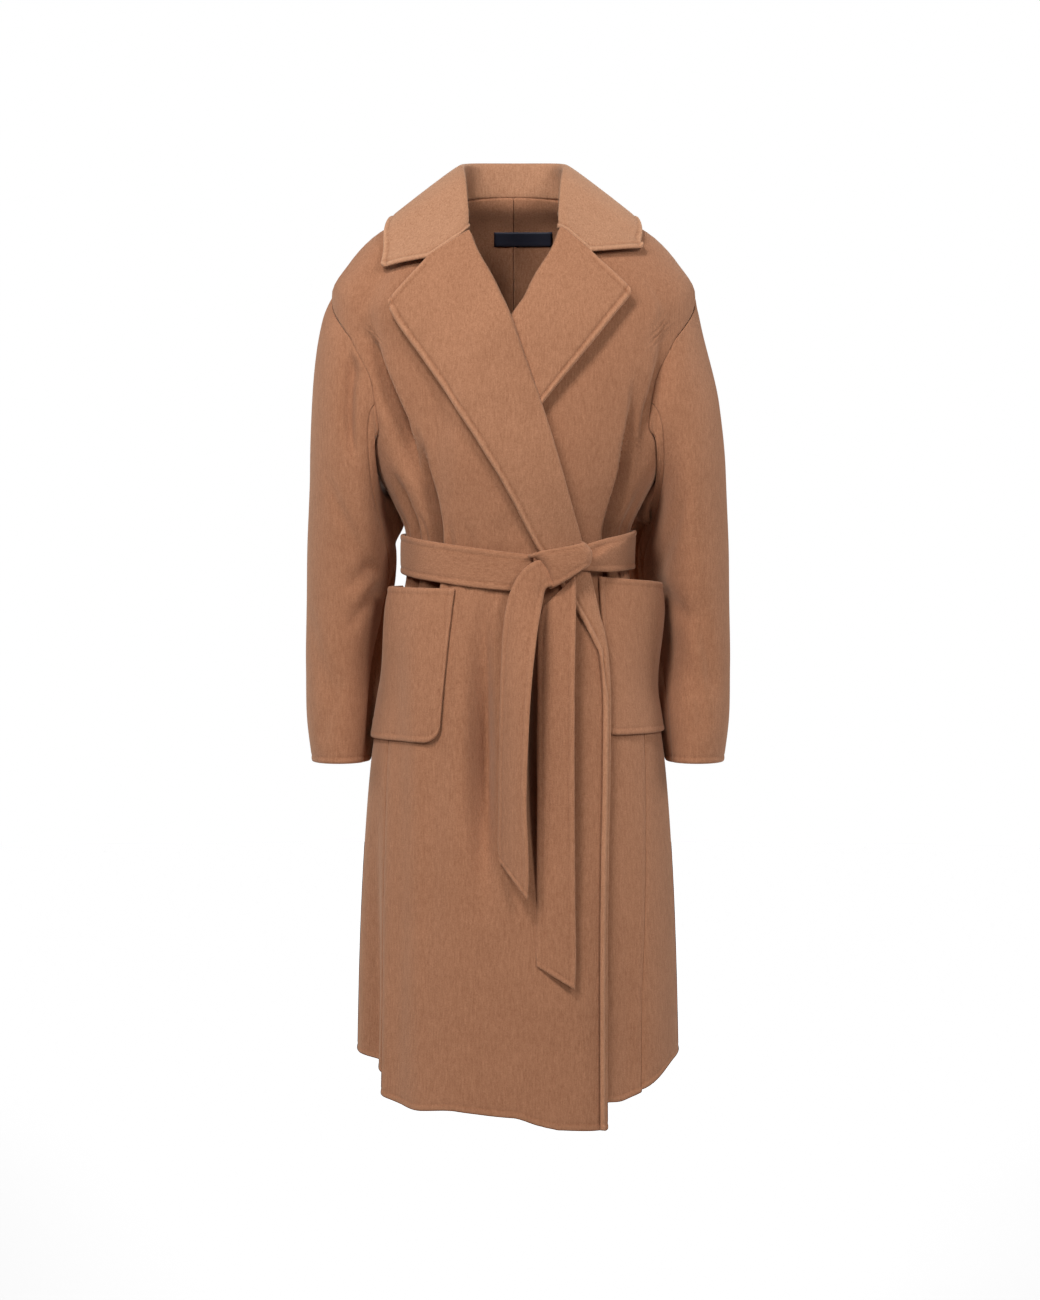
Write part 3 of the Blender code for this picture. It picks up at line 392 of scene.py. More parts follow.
# Collar: the face colour painted about a fifth lighter, painted light where the collar tilts up to the
# lamps
CAMEL_COLLAR_PAINTED_LIGHT = (0.282, 0.124, 0.063), (0.567, 0.300, 0.177)

# Plain woven label
NAVY, LABEL_ROUGHNESS, LABEL_WEAVE = ((0.010, 0.012, 0.026), (0.022, 0.025, 0.046)), 0.6, 900.0

# Fields for the cut sizes of the pieces before sewing: width, length and flat area; no sizes are given
Cut = namedtuple("Cut", "width length area held")

# Studio: camera at the photo's place, large soft lights, white floor
CAMERA_BACK, CAMERA_ASIDE, CAMERA_HEIGHT, CAMERA_DOWN = 3.2, 0.0025, -0.45, np.radians(1.98)
PHOTO_HEIGHT, FOCAL_PIXELS, SENSOR = 1300, 2560, 24.0
FLOOR_DROP, FLOOR_RADIUS, FLOOR_SIDES = 1.20, 14.0, 96
FLOOR_SURFACE = {"Base Color": (0.92, 0.92, 0.92, 1.0), "Roughness": 0.9}
WHITE = (1.0, 1.0, 1.0, 1.0)
LIGHTS = named_rows(
    "name place aim size power",
    ("key", (-0.9, -2.2, 2.1), (0.0, 0.0, -0.60), 0.8, 66.0),
    ("left", (-1.7, -2.7, 1.1), (0.0, 0.0, -0.50), 1.0, 38.0),
    ("right", (1.6, -2.7, 1.1), (0.0, 0.0, -0.55), 1.0, 42.0),
    ("side_left", (-2.7, 0.7, 0.4), (0.0, 0.0, -0.5), 1.2, 24.0),
    ("side_right", (2.7, 0.7, 0.4), (0.0, 0.0, -0.5), 1.2, 36.0),
    ("back", (0.0, 3.0, 0.9), (0.0, 0.0, -0.5), 2.0, 58.0),
)
AMBIENT = 0.03


def curve(values):
    """Shape-keeping cubic through a table column, read at fractional rows."""
    v = np.asarray(values, float)
    step = np.diff(v)
    slope = np.zeros_like(v)
    slope[0], slope[-1] = step[0], step[-1]
    for i in range(1, len(v) - 1):
        if step[i - 1] * step[i] > 0:
            slope[i] = 2 * step[i - 1] * step[i] / (step[i - 1] + step[i])

    def at(row):
        row = np.clip(np.asarray(row, float), 0, len(v) - 1)
        i = np.minimum(row.astype(int), len(v) - 2)
        t = row - i
        rise = t * t * (3 - 2 * t)
        lean_in, lean_out = t * (1 - t) ** 2, t * t * (t - 1)
        return v[i] + rise * step[i] + lean_in * slope[i] + lean_out * slope[i + 1]

    return at


def columns(rows):
    """One curve for each named column of a table."""
    names = rows[0]._fields
    return namedtuple("Curves", names)(*(curve([getattr(r, n) for r in rows]) for n in names))


RING = columns(RINGS)
PULL = curve(UNDER_PULL)


def smooth(t):
    t = np.clip(t, 0, 1)
    return t * t * (3 - 2 * t)


def bell(x, width):
    return np.exp(-((x / width) ** 2))


def stack(x, y, z):
    return np.stack(np.broadcast_arrays(x, y, z), axis=-1)


def unit(v):
    return v / np.maximum(np.linalg.norm(v, axis=-1, keepdims=True), 1e-12)


def plain_body(angle, row):
    """Smooth outer face of the body, angle 0 at the front and + to the wearer's left."""
    s, c = np.sin(angle), np.cos(angle)
    bend = 2 / SECTION_POWER
    depth = np.where(c > 0, RING.front(row), RING.back(row))
    z_end = np.where(c > 0, RING.z_front(row), RING.z_back(row))
    x = RING.half(row) * np.sign(s) * np.abs(s) ** bend
    y = -depth * np.sign(c) * np.abs(c) ** bend
    return stack(x, y, RING.z_side(row) + (z_end - RING.z_side(row)) * c * c)


def outward(angle, row):
    """Direction square to the smooth body."""
    d = 1e-3
    low, high = np.clip(row - d, 0, HEM_ROW), np.clip(row + d, 0, HEM_ROW)
    along = plain_body(angle + d, row) - plain_body(angle - d, row)
    down = plain_body(angle, high) - plain_body(angle, low)
    return unit(np.cross(down, along))


def fold_depth(angle, z):
    """How far all folds together sink the cloth at a place."""
    total = 0.0
    for f in FOLDS + CREASES:
        middle = np.interp(z, (f.z_end, f.z_deep, f.z_start), (f.a_end, f.a_deep, f.a_start))
        grow = smooth((f.z_start - z) / (f.z_start - f.z_deep))
        fade = smooth((z - f.z_end) / (f.z_deep - f.z_end))
        off = (np.degrees(angle) - middle + 180) % 360 - 180
        width = np.where(off < 0, f.right, f.left)
        total = total + f.depth * np.minimum(grow, fade) * bell(off, width)
    return total


def skin(angle, row, lift=0.0, folds=1.0):
    """Body face with its folds, moved out by lift."""
    base = plain_body(angle, row)
    out = np.asarray(lift) - folds * fold_depth(angle, base[..., 2])
    return base + outward(angle, row) * np.broadcast_to(out, base.shape[:-1])[..., None]


def angle_of(x, row):
    ratio = np.clip(np.abs(x) / RING.half(row), 0, 1) ** (SECTION_POWER / 2)
    return np.sign(x) * np.arcsin(ratio)


def row_at(z, angle_for):
    """Ring row whose face has height z, where angle_for gives the angle for a row."""
    low, high = np.zeros_like(z), np.full_like(z, HEM_ROW)
    for _ in range(HALVINGS):
        mid = (low + high) / 2
        above = plain_body(angle_for(mid), mid)[..., 2] > z
        low, high = np.where(above, mid, low), np.where(above, high, mid)
    return (low + high) / 2


def front_edge(side, row):
    """How far the roll line or front edge passes the centre."""
    return RING.edge(row) + (PULL(row) if side == UNDER else 0.0)


def roll_radius(row):
    """The lapel rolls softly at the chest and lies tight by the belt."""
    return ROLL_TIGHT + ROLL_SOFT * (1 - smooth((row - ROLL_FROM) / ROLL_ROWS))


def front_lift(side, own_x, row):
    """The upper front stands off wherever the lower front lies under it."""
    if side == UNDER:
        return np.zeros_like(own_x)
    past_edge = front_edge(UNDER, row) - own_x
    covered = smooth((COVER_FROM + past_edge) / COVER_RUN)
    ridge = smooth((RIDGE_FROM + past_edge) / RIDGE_RUN) * smooth((RIDGE_FROM - past_edge) / RIDGE_RUN)
    below = smooth((row - RIDGE_ROW) / RIDGE_ROWS)
    return RING.lift(row) * covered + UNDER_EDGE_LIFT * ridge * below


def front_face(side, own_x, z, lift=0.0, folds=1.0):
    """Outer face of a front at a place seen from the front."""
    own_x, z = np.broadcast_arrays(np.asarray(own_x, float), np.asarray(z, float))
    row = row_at(z, lambda r: angle_of(own_x, r))
    return skin(side * angle_of(own_x, row), row, lift + front_lift(side, own_x, row), folds)


def near_hem(row):
    return smooth((row - HEM_RISE_ROW) / (HEM_ROW - HEM_RISE_ROW))


def hem_drop(side, points, row):
    """Each front hangs lower than its ring at the hem."""
    table = HEM_DROPS[side]
    place = np.interp(side * points[..., 0], [h.own_x for h in table], np.arange(len(table)))
    points[..., 2] -= columns(table).drop(place) * near_hem(row)
    return points


def graded(length, near, steps, far=None):
    """Places from 0 to length: close together at the near border, and at the far one if given."""
    ends = near if far is None else np.concatenate([near, length - far])
    inner = np.linspace(near[-1], length - (0 if far is None else far[-1]), steps)
    return np.unique(np.round(np.concatenate([ends, inner]), 7))


def body_rows():
    """Ring rows at an even step of height, closer together by the hem."""
    rows = np.linspace(0, HEM_ROW, ROW_SAMPLES)
    depth = np.concatenate([[0], np.cumsum(np.abs(np.diff(RING.z_front(rows))))])
    places = graded(depth[-1], NEAR_EDGE, int(depth[-1] / ROW_STEP), NEAR_EDGE)
    return np.interp(places, depth, rows)


def front_grid(side, inset):
    """A front with its lapel rolled out, from the lapel's free edge to the side."""
    row = body_rows()
    edge = angle_of(-front_edge(side, row), row)
    seam = seam_angle(side, row, RING.front_seam)
    share = graded(PANEL_WIDTH, np.zeros(1), PANEL_STEPS, NEAR_SEAM) / PANEL_WIDTH
    own = edge[:, None] + (seam - edge)[:, None] * share
    rows = np.broadcast_to(row[:, None], own.shape)
    lift = front_lift(side, side * plain_body(side * own, rows)[..., 0], rows)
    panel = skin(side * own, rows, lift)
    out = outward(side * edge, row)
    beyond = panel[:, 0] - panel[:, 1]
    beyond = unit(beyond - out * np.sum(beyond * out, axis=-1, keepdims=True))
    radius = roll_radius(row)[:, None]
    axis = panel[:, 0] + out * radius
    turns = np.radians(np.linspace(180, 0, ROLL_STEPS))[:-1]
    roll = [axis + (radius + inset) * (beyond * np.sin(t) - out * np.cos(t)) for t in turns]
    lapel = lapel_grid(side, row, 2 * radius + inset)
    panel = skin(side * own, rows, lift - inset)
    grid = np.concatenate([lapel, np.stack(roll, axis=1), panel], axis=1)
    return hem_drop(side, grid, np.broadcast_to(row[:, None], grid.shape[:2]))


def lapel_line(side, row):
    """Ends of each lapel row seen from the front: roll line, then free edge."""
    table = columns(LAPELS[side])
    edge = front_edge(side, row)
    roll_z = plain_body(angle_of(edge, row), row)[..., 2]
    turned = smooth(row - len(LAPELS[side]) + 1)
    free_x = table.past(row) * (1 - turned) + (edge - TURNED_EDGE) * turned
    free_z = table.z(row) * (1 - turned) + roll_z * turned
    return edge, roll_z, free_x, free_z


def lapel_shares(length):
    """Places across lapels of these lengths, from the free edge at 1 to the roll at 0."""
    squeeze = np.minimum(length / (LAPEL_SQUEEZE * NEAR_EDGE[-1]), 1)
    near = NEAR_EDGE[None, :] * squeeze[:, None]
    rest = np.linspace(0, 1, LAPEL_STEPS + 1)[None, 1:-1]
    inner = near[:, -1:] + (length[:, None] - near[:, -1:]) * rest
    return 1 - np.concatenate([near, inner], axis=1) / length[:, None]


def lapel_grid(side, row, lift):
    """Outer face of a lapel, from its free edge to the roll."""
    edge, roll_z, free_x, free_z = lapel_line(side, row)
    length = np.hypot(free_x - edge, free_z - roll_z)
    t = lapel_shares(length)
    past = edge[:, None] + (free_x - edge)[:, None] * t
    z = roll_z[:, None] + (free_z - roll_z)[:, None] * t
    rise = np.interp(t, (0, NOTCH_AT[side], 1), (0, NOTCH_RISE[side], 0))
    z = z + rise * (1 - smooth(row / NOTCH_ROWS))[:, None]
    bow = LAPEL_BOW[side] * np.sin(np.pi * np.clip(t, 0, 1))
    stand = LAPEL_STAND * smooth((t - LAPEL_STAND_FROM) / (1 - LAPEL_STAND_FROM))
    return front_face(side, -past, z, lift + (bow + stand) * smooth(length / LAPEL_FULL)[:, None])


def past_notch(side, count):
    """How free a front's top border is: sewn to the collar up to the notch, open beyond it."""
    edge, roll_z, free_x, free_z = lapel_line(side, np.zeros(1))
    t = lapel_shares(np.hypot(free_x - edge, free_z - roll_z))[0]
    free = np.zeros(count)
    free[:len(t)] = smooth((t - NOTCH_AT[side]) / NOTCH_BLEND)
    return free


def seam_angle(side, row, column):
    """Shoulder, armhole or side seam; the lower front's side seam runs forward to its hem."""
    share = smooth((row - SEAM_FORWARD_ROW) / (HEM_ROW - SEAM_FORWARD_ROW))
    forward = UNDER_SEAM_FORWARD * share if side == UNDER else 0.0
    return np.radians(column(row) - forward)


def back_grid(side, inset):
    row = body_rows()
    seam = seam_angle(side, row, RING.back_seam)
    share = graded(PANEL_WIDTH, NEAR_SEAM, BACK_STEPS, NEAR_SEAM) / PANEL_WIDTH
    own = seam[:, None] + (np.pi - seam)[:, None] * share
    rows = np.broadcast_to(row[:, None], own.shape)
    filled = inset + neck_fill(own, rows) * (inset > 0)
    grid = skin(side * own, rows, -filled)
    reach = smooth((own - seam[:, None]) / BACK_HEM_REACH)
    grid[..., 2] -= BACK_HEM_DROP[side] * (1 - reach) * near_hem(rows)
    return grid


def neck_fill(angle, row):
    """The seam turned in below the collar softens the bend inside the back neck."""
    below = row / NECK_FILL_ROW
    return NECK_FILL * below * np.exp(1 - below) * smooth(-np.cos(angle) * NECK_FILL_TURN)


def armhole(side, turn, sunk=None):
    """Armhole seam, turn 0 at the shoulder, 90 at the front, 180 under the arm.

    The sleeve's edge stands clear of the body under the arm; sunk gives a line behind the seam.
    """
    front = turn <= 180
    row = np.where(front, SHOULDER_ROW + turn / 45, SHOULDER_ROW + (360 - turn) / 45)
    seam = np.where(front, RING.front_seam(row), RING.back_seam(row))
    clear = UNDERARM_CLEAR * smooth(1 - np.abs(turn - 180) / UNDERARM_SPREAD)
    return skin(side * np.radians(seam), row, clear if sunk is None else -sunk)


def sleeve_depth(side, row, turn):
    """How far all creases of a sleeve together sink its cloth."""
    total = 0.0
    for c in SLEEVE_CREASES:
        if c.side != side:
            continue
        run = np.array((c.row_b - c.row_a, c.turn_b - c.turn_a)) * (SLEEVE_ROW_LENGTH, SLEEVE_TURN_LENGTH)
        down = (row - c.row_a) * SLEEVE_ROW_LENGTH
        round_it = ((turn - c.turn_a + 180) % 360 - 180) * SLEEVE_TURN_LENGTH
        length = np.hypot(*run)
        along = (down * run[0] + round_it * run[1]) / length
        off = (down * run[1] - round_it * run[0]) / length
        from_a, from_b = along / length, 1 - along / length
        taper = smooth(from_a * CREASE_TAPER + 0.5) * smooth(from_b * CREASE_TAPER + 0.5)
        total = total + c.depth * taper * bell(off, c.width)
    return total


def sleeve(side, row, turn):
    """Outer face of a sleeve, from the armhole seam down to the cuff."""
    turn = turn % 360
    ring = columns(SLEEVE)
    angle = np.radians(turn)
    dent = smooth(row / DENT_IN_ROW) * smooth((DENT_OUT_ROW - row) / DENT_OUT_ROWS)
    dent = SLEEVE_DENT[side] * dent * smooth(np.cos(angle))
    slack = SLEEVE_SLACK[side] * np.exp(-((row - SLACK_ROW) ** 2)) * smooth(-np.cos(angle))
    x = side * (ring.x_mid(row) + ring.half_width(row) * np.cos(angle) - dent - slack)
    hollow = HOLLOWS[side]
    back = smooth((row - HOLLOW_FROM) / HOLLOW_IN) * smooth((HOLLOW_TO - row) / HOLLOW_OUT)
    back = hollow.depth * back * bell((turn - hollow.turn + 180) % 360 - 180, hollow.spread)
    y = ring.y_mid(row) - ring.half_depth(row) * np.sin(angle) + back
    tube = stack(x, y, ring.z_mid(row) + ring.rise(row) * np.cos(angle))
    top = armhole(side, turn)
    return top + (tube - top) * ring.blend(row)[..., None]


def sleeve_spans(row):
    """Turns where each half of a sleeve starts and ends; the forearm seam runs inward."""
    front = SLEEVE_SEAMS[0] + FOREARM_TURN * smooth(row / FOREARM_ROWS)
    back = np.full_like(front, SLEEVE_SEAMS[1])
    return {"sleeve_top": (back - 360, front), "sleeve_under": (front, back)}


def sleeve_grid(side, name, inset):
    """One half of a sleeve with its creases, its top tucked under the armhole seam."""
    end = len(SLEEVE) - 1
    near_top, near_cuff = NEAR_SEAM / TOP_ROW_LENGTH, NEAR_EDGE / CUFF_ROW_LENGTH
    rows = SLEEVE_START + graded(end - SLEEVE_START, near_top, SLEEVE_ROW_STEPS, near_cuff)
    first, last = sleeve_spans(rows)[name]
    whole = float(last[0] - first[0])
    near = NEAR_SEAM / SLEEVE_TURN_LENGTH
    share = graded(whole, near, int(whole / SLEEVE_TURN_STEP), near) / whole
    turn = first[:, None] + (last - first)[:, None] * share
    row = np.broadcast_to(rows[:, None], turn.shape)
    down = sleeve(side, row + SQUARE_ROWS, turn) - sleeve(side, np.maximum(row - SQUARE_ROWS, 0), turn)
    along = sleeve(side, row, turn + SQUARE_TURN) - sleeve(side, row, turn - SQUARE_TURN)
    normal = side * np.cross(unit(along), unit(down))
    plain = sleeve(side, row, turn)
    middle = np.array((side * SLEEVE[0].x_mid, SLEEVE[0].y_mid, SLEEVE[0].z_mid))
    sheared = 1 - smooth(np.linalg.norm(normal, axis=-1) / SHEAR_LIMIT)
    normal = unit(normal + unit(plain - middle) * (sheared * (1 - smooth(row)))[..., None])
    sunk = sleeve_depth(side, row, turn) * smooth(row / SINK_ROWS)
    grid = plain - normal * (inset + sunk)[..., None]
    under = armhole(side, turn[0] % 360, SLEEVE_TUCK) - normal[0] * inset
    return np.concatenate([under[None], (under + grid[0])[None] / 2, grid])


def bezier(a, b, c, d, t):
    s = 1 - t
    return a * s ** 3 + 3 * b * s * s * t + 3 * c * s * t * t + d * t ** 3


def collar_line(side, place, stand, fall):
    """One line of the collar from the neck seam over its fold to the outer edge."""
    station = columns(COLLAR)
    row = place * (len(COLLAR) - 1)
    neck = plain_body(side * np.radians(station.neck(row)), np.float64(0))
    fold = stack(side * station.fold_x(row), station.fold_y(row), station.fold_z(row))
    tip = COLLAR_TIP_RISE[side] * smooth((place - COLLAR_TIP_FROM) / (1 - COLLAR_TIP_FROM))
    edge_angle = side * np.radians(station.edge_angle(row) + COLLAR_TIP_TURN * tip)
    edge_row = station.edge_row(row) - tip
    edge = skin(edge_angle, edge_row, station.edge_lift(row))
    out = unit((edge - neck) * np.array((1, 1, 0)))
    seam = neck + np.array((0, 0, COLLAR_SET_UP - COLLAR_LAP * (1 - smooth(place / COLLAR_LAP_RUN))))
    lean = seam + (fold - seam) * STAND_LEAN
    roll = STAND_ROLL * smooth(np.linalg.norm(fold - seam) / STAND_FULL)
    inside = bezier(seam, lean, fold - out * roll, fold, stand[:, None])
    near = edge + (fold - edge) * FALL_LEAN + outward(edge_angle, edge_row) * FALL_BOW
    outside = bezier(fold, fold + out * FALL_ROLL, near, edge, fall[:, None])
    return inside, outside


def collar_end(side, fall):
    """Front end of the collar: along the gorge seam to the notch, then to the tip."""
    edge, roll_z, free_x, free_z = (v[0] for v in lapel_line(side, np.zeros(1)))
    share = NOTCH_AT[side]
    notch_x = -(edge + (free_x - edge) * share)
    notch_z = roll_z + (free_z - roll_z) * share + NOTCH_RISE[side]
    _, outer = collar_line(side, np.float64(1), np.zeros(1), np.ones(1))
    x = np.interp(fall, (0, COLLAR_NOTCH, 1), (-edge, notch_x, side * outer[0, 0]))
    z = np.interp(fall, (0, COLLAR_NOTCH, 1), (roll_z, notch_z, outer[0, 2])) + GORGE_GAP
    return front_face(side, x, z, 2 * roll_radius(0.0) + COLLAR_OVER)


def collar_grid():
    stand = np.linspace(0, 1, STAND_STEPS)[:-1]
    fall = 1 - graded(FALL_LENGTH, NEAR_EDGE, FALL_STEPS)[::-1] / FALL_LENGTH
    near = NEAR_EDGE / COLLAR_HALF
    places = graded(2.0, near, COLLAR_STEPS, near) - 1
    lines = []
    for place in places:
        side = UNDER if place > 0 else OVER
        inside, outside = collar_line(side, np.abs(place), stand, fall)
        share = np.clip((np.abs(place) - COLLAR_END_FROM) / (1 - COLLAR_END_FROM), 0, 1)
        _, plain_end = collar_line(side, np.float64(1), stand, fall)
        move = (collar_end(side, fall) - plain_end) * share ** COLLAR_END_POWER
        move *= smooth(fall / COLLAR_END_FALL)[:, None]
        lines.append(np.concatenate([inside, outside + move]))
    return np.stack(lines)


def belt_grid():
    """Band pulled tight round the waist, folded over where it enters the knot."""
    table, fold = columns(BELT), columns(BELT_FOLD)
    row = np.linspace(0, len(BELT) - 1, BELT_STEPS)
    across = 1 - 2 * graded(BELT_WIDTH, NEAR_EDGE, BELT_ACROSS, NEAR_EDGE) / BELT_WIDTH
    z = table.z_mid(row)[:, None] + table.half_width(row)[:, None] * across
    degrees = table.angle(row)
    angle = np.broadcast_to(np.radians(degrees)[:, None], z.shape)
    at = np.interp(degrees, [f.angle for f in BELT_FOLD], np.arange(len(BELT_FOLD)))
    off = across - fold.share(at)[:, None]
    ridge = fold.height(at)[:, None] * bell(off, np.where(off > 0, BELT_FOLD_ABOVE, BELT_FOLD_BELOW))
    wave = BELT_WAVE * np.sin(degrees / BELT_WAVE_TURN)[:, None] * (1 - across ** 2)
    lift = table.lift(row)[:, None] + ridge + wave
    waist = np.broadcast_to(WAIST_ROW, z.shape)
    ring = plain_body(angle, waist) + outward(angle, waist) * lift[..., None]
    ring[..., 2] = z
    return ring


def pocket_grid(side, pocket):
    width = np.radians(pocket.outer - pocket.inner) * RING.half(POCKET_ROW)
    u = graded(width, NEAR_EDGE, POCKET_STEPS, NEAR_EDGE) / width
    height = pocket.z_top - pocket.z_bottom
    v = graded(height, NEAR_EDGE, POCKET_STEPS, NEAR_EDGE) / height
    inner = pocket.inner + pocket.flare * (1 - 2 * v[:, None])
    angle = np.radians(inner + (pocket.outer - inner) * u)
    reach = np.clip(np.minimum(u, 1 - u) * width, 0, pocket.corner)
    rounded = pocket.corner - np.sqrt(pocket.corner ** 2 - (pocket.corner - reach) ** 2)
    bottom = pocket.z_bottom + rounded
    top = pocket.z_top + pocket.slant * (u - 0.5)
    z = top + (bottom - top) * v[:, None]
    own = np.broadcast_to(angle, z.shape)
    row = row_at(z, lambda r: own)
    across = np.where(u < pocket.gape_at, u / pocket.gape_at, (1 - u) / (1 - pocket.gape_at))
    gape = pocket.gape * smooth(across)[None, :] * (1 - smooth(v / POCKET_GAPE_DEPTH))[:, None]
    lift = front_lift(side, plain_body(own, row)[..., 0], row) + CLOTH + POCKET_GAP + gape
    face = plain_body(side * own, row) + outward(side * own, row) * lift[..., None]
    face[..., 2] = z
    return face


def tail_grid(name):
    table = columns(TAILS[name])
    row = np.linspace(0, len(TAILS[name]) - 1, TAIL_STEPS)
    row = np.unique(np.concatenate([row, row[-1] - NEAR_EDGE / TAIL_ROW_LENGTH]))
    slant, twist = np.radians(table.slant(row)), np.radians(table.twist(row))
    middle = front_face(OVER, -table.x(row), table.z(row), table.lift(row), folds=0.0)
    across = stack(np.cos(slant) * np.cos(twist), -np.cos(slant) * np.sin(twist), -np.sin(slant))
    share = 2 * graded(TAIL_WIDTH, NEAR_EDGE, TAIL_ACROSS, NEAR_EDGE) / TAIL_WIDTH - 1
    grid = middle[:, None, :] + across[:, None, :] * (share * table.half_width(row)[:, None])[..., None]
    grid[..., 1] += (TAIL_CUP[name] * share ** 2)[None, :] * smooth(row / TAIL_CUP_ROWS)[:, None]
    return grid


def knot_grid():
    """Wrap of the knot, a band that curls under at both its sides."""
    left, right = columns(KNOT_LEFT), columns(KNOT_RIGHT)
    v = np.linspace(0, 1, KNOT_STEPS)
    u = np.linspace(-KNOT_CURL, 1 + KNOT_CURL, KNOT_STEPS)
    across = np.clip(u, 0, 1)
    at = v * (len(KNOT_LEFT) - 1)
    x = left.x(at)[:, None] + (right.x(at) - left.x(at))[:, None] * across
    z = left.z(at)[:, None] + (right.z(at) - left.z(at))[:, None] * across
    dome = np.sqrt(1 - np.abs(2 * across - 1) ** KNOT_DOME)
    under = np.clip(np.abs(u - 0.5) - 0.5, 0, None) / KNOT_CURL
    height = KNOT_HEIGHT * (KNOT_SIDE + (1 - KNOT_SIDE) * dome - KNOT_SIDE * under)
    bulge = 1 - KNOT_DROOP * np.abs(2 * v - 1)[:, None] ** 3
    return front_face(UNDER, x, z, KNOT_BACK + height * bulge)


def label_grid():
    x = np.linspace(LABEL_LEFT, LABEL_RIGHT, LABEL_STEPS[0])
    x, z = np.meshgrid(x, np.linspace(LABEL_TOP, LABEL_BOTTOM, LABEL_STEPS[1]))
    row = row_at(z, lambda r: np.pi - angle_of(x, r))
    angle = np.pi - angle_of(x, row)
    sunk = CLOTH + LABEL_GAP + neck_fill(angle, row)
    return plain_body(angle, row) - outward(angle, row) * sunk[..., None]


def round_corner(grid, end, border, radius):
    """Round the corner between two borders of a grid, by moving its points in along both."""
    away = from_borders(grid)
    u, v = np.clip(1 - away[border] / radius, 0, 1), np.clip(1 - away[end] / radius, 0, 1)
    across = unit(np.gradient(grid, axis=1)) * (1 if border == "left" else -1)
    down = unit(np.gradient(grid, axis=0)) * (1 if end == "top" else -1)
    in_across = radius * u * (1 - np.sqrt(1 - v * v / 2))
    in_down = radius * v * (1 - np.sqrt(1 - u * u / 2))
    return grid + across * in_across[..., None] + down * in_down[..., None]


def behind(face, thickness):
    """Other side of a wall, square to the grid of its face."""
    normal = unit(np.cross(np.gradient(face, axis=1), np.gradient(face, axis=0)))
    return face - normal * thickness


def from_borders(points):
    """How far each point of a grid lies from its four borders, along its rows and columns."""
    across = np.linalg.norm(np.diff(points, axis=1), axis=-1)
    down = np.linalg.norm(np.diff(points, axis=0), axis=-1)
    left = np.concatenate([np.zeros((len(points), 1)), np.cumsum(across, axis=1)], axis=1)
    top = np.concatenate([np.zeros((1, points.shape[1])), np.cumsum(down, axis=0)], axis=0)
    return {"left": left, "right": left[:, -1:] - left, "top": top, "bottom": top[-1:] - top}


def finish_border(d, along, finish):
    """At distance d from a border: its rounding, its swell or pinch, and how far a seam sinks.

    A border that is sewn in part gives its shares, 0 where it is a seam and 1 where it is free.
    """
    free, finish = (float(finish == FREE), finish) if isinstance(finish, str) else (finish, SEAM)
    rounding = EDGE_ROUND[finish] + (EDGE_ROUND[FREE] - EDGE_ROUND[finish]) * free
    fill = np.sqrt(1 - (1 - np.clip(d / rounding, 0, 1)) ** 2)
    own = TURNED if finish == TURNED else FREE
    stitched = 1.0 if finish == TURNED else free
    uneven = 1 + PUCKER * np.sin(along * 2 * np.pi / PUCKER_LONG) * np.sin(along * 2 * np.pi / PUCKER_SHORT)
    swell = EDGE_SWELL[own] * bell(d - EDGE_SWELL_AT, EDGE_SWELL_WIDTH)
    pinch = STITCH_PINCH[own] * bell(d - STITCH_AT, STITCH_WIDTH) * uneven
    sewn = 1 - free if finish == SEAM else 0.0
    return fill, stitched * (swell - pinch), sewn * SEAM_SINK * bell(d, SEAM_WIDTH)


def lean(points):
    """The shoulders hang a little towards the wearer's right."""
    points[..., 0] += LEAN * smooth((points[..., 2] - LEAN_FROM) / LEAN_RUN)
    return points


def quads(index):
    """Four-sided faces of a grid of point numbers."""
    corners = index[:-1, :-1], index[1:, :-1], index[1:, 1:], index[:-1, 1:]
    return np.stack(corners, axis=-1).reshape(-1, 4)


def add_cloth(name, face, back, borders, materials, nodes):
    """Closed cloth shell between two matching grids, with its borders finished."""
    middle, half = (face + back) / 2, (face - back) / 2
    away = from_borders(middle)
    out = unit(half)
    fill, puff = np.ones(middle.shape[:2]), np.zeros(middle.shape[:2])
    for border, finish in borders.items():
        along = away["top" if border in ("left", "right") else "left"]
        rounded, swollen, sunk = finish_border(away[border], along, finish)
        fill *= rounded * (1 + swollen)
        # Each swell also paints a highlight and each stitch pinch a shade into the wool's colour
        puff += swollen
        middle = middle - out * np.broadcast_to(sunk, fill.shape)[..., None]
    outer, inner = lean(middle + half * fill[..., None]), lean(middle - half * fill[..., None])
    rows, cols = fill.shape
    front = np.arange(rows * cols).reshape(rows, cols)
    rear = front + rows * cols
    rear[0], rear[-1], rear[:, 0], rear[:, -1] = front[0], front[-1], front[:, 0], front[:, -1]
    outside, inside = quads(front), quads(rear)
    points = np.concatenate([outer.reshape(-1, 3), inner.reshape(-1, 3)])
    used, index = np.unique(np.concatenate([outside, inside[:, ::-1]]), return_inverse=True)
    mesh = bpy.data.meshes.new(name)
    mesh.from_pydata(points[used].tolist(), [], index.reshape(-1, 4).tolist())
    mesh.shade_smooth()
    # Painted highlight on edge swells and painted shade in stitch grooves, read by the wool
    edge_painted_light_attribute = mesh.attributes.new("puff", "FLOAT", "POINT")
    edge_painted_light_attribute.data.foreach_set("value", np.tile(puff.ravel(), 2)[used])
    for material in materials:
        mesh.materials.append(material)
    faces = np.repeat((0, len(materials) - 1), len(outside))
    mesh.polygons.foreach_set("material_index", faces.astype(np.int32))
    piece = bpy.data.objects.new(name, mesh)
    bpy.context.scene.collection.objects.link(piece)
    flip_if_inside_out(mesh)
    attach(piece, "root")
    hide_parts(*nodes)
    return piece


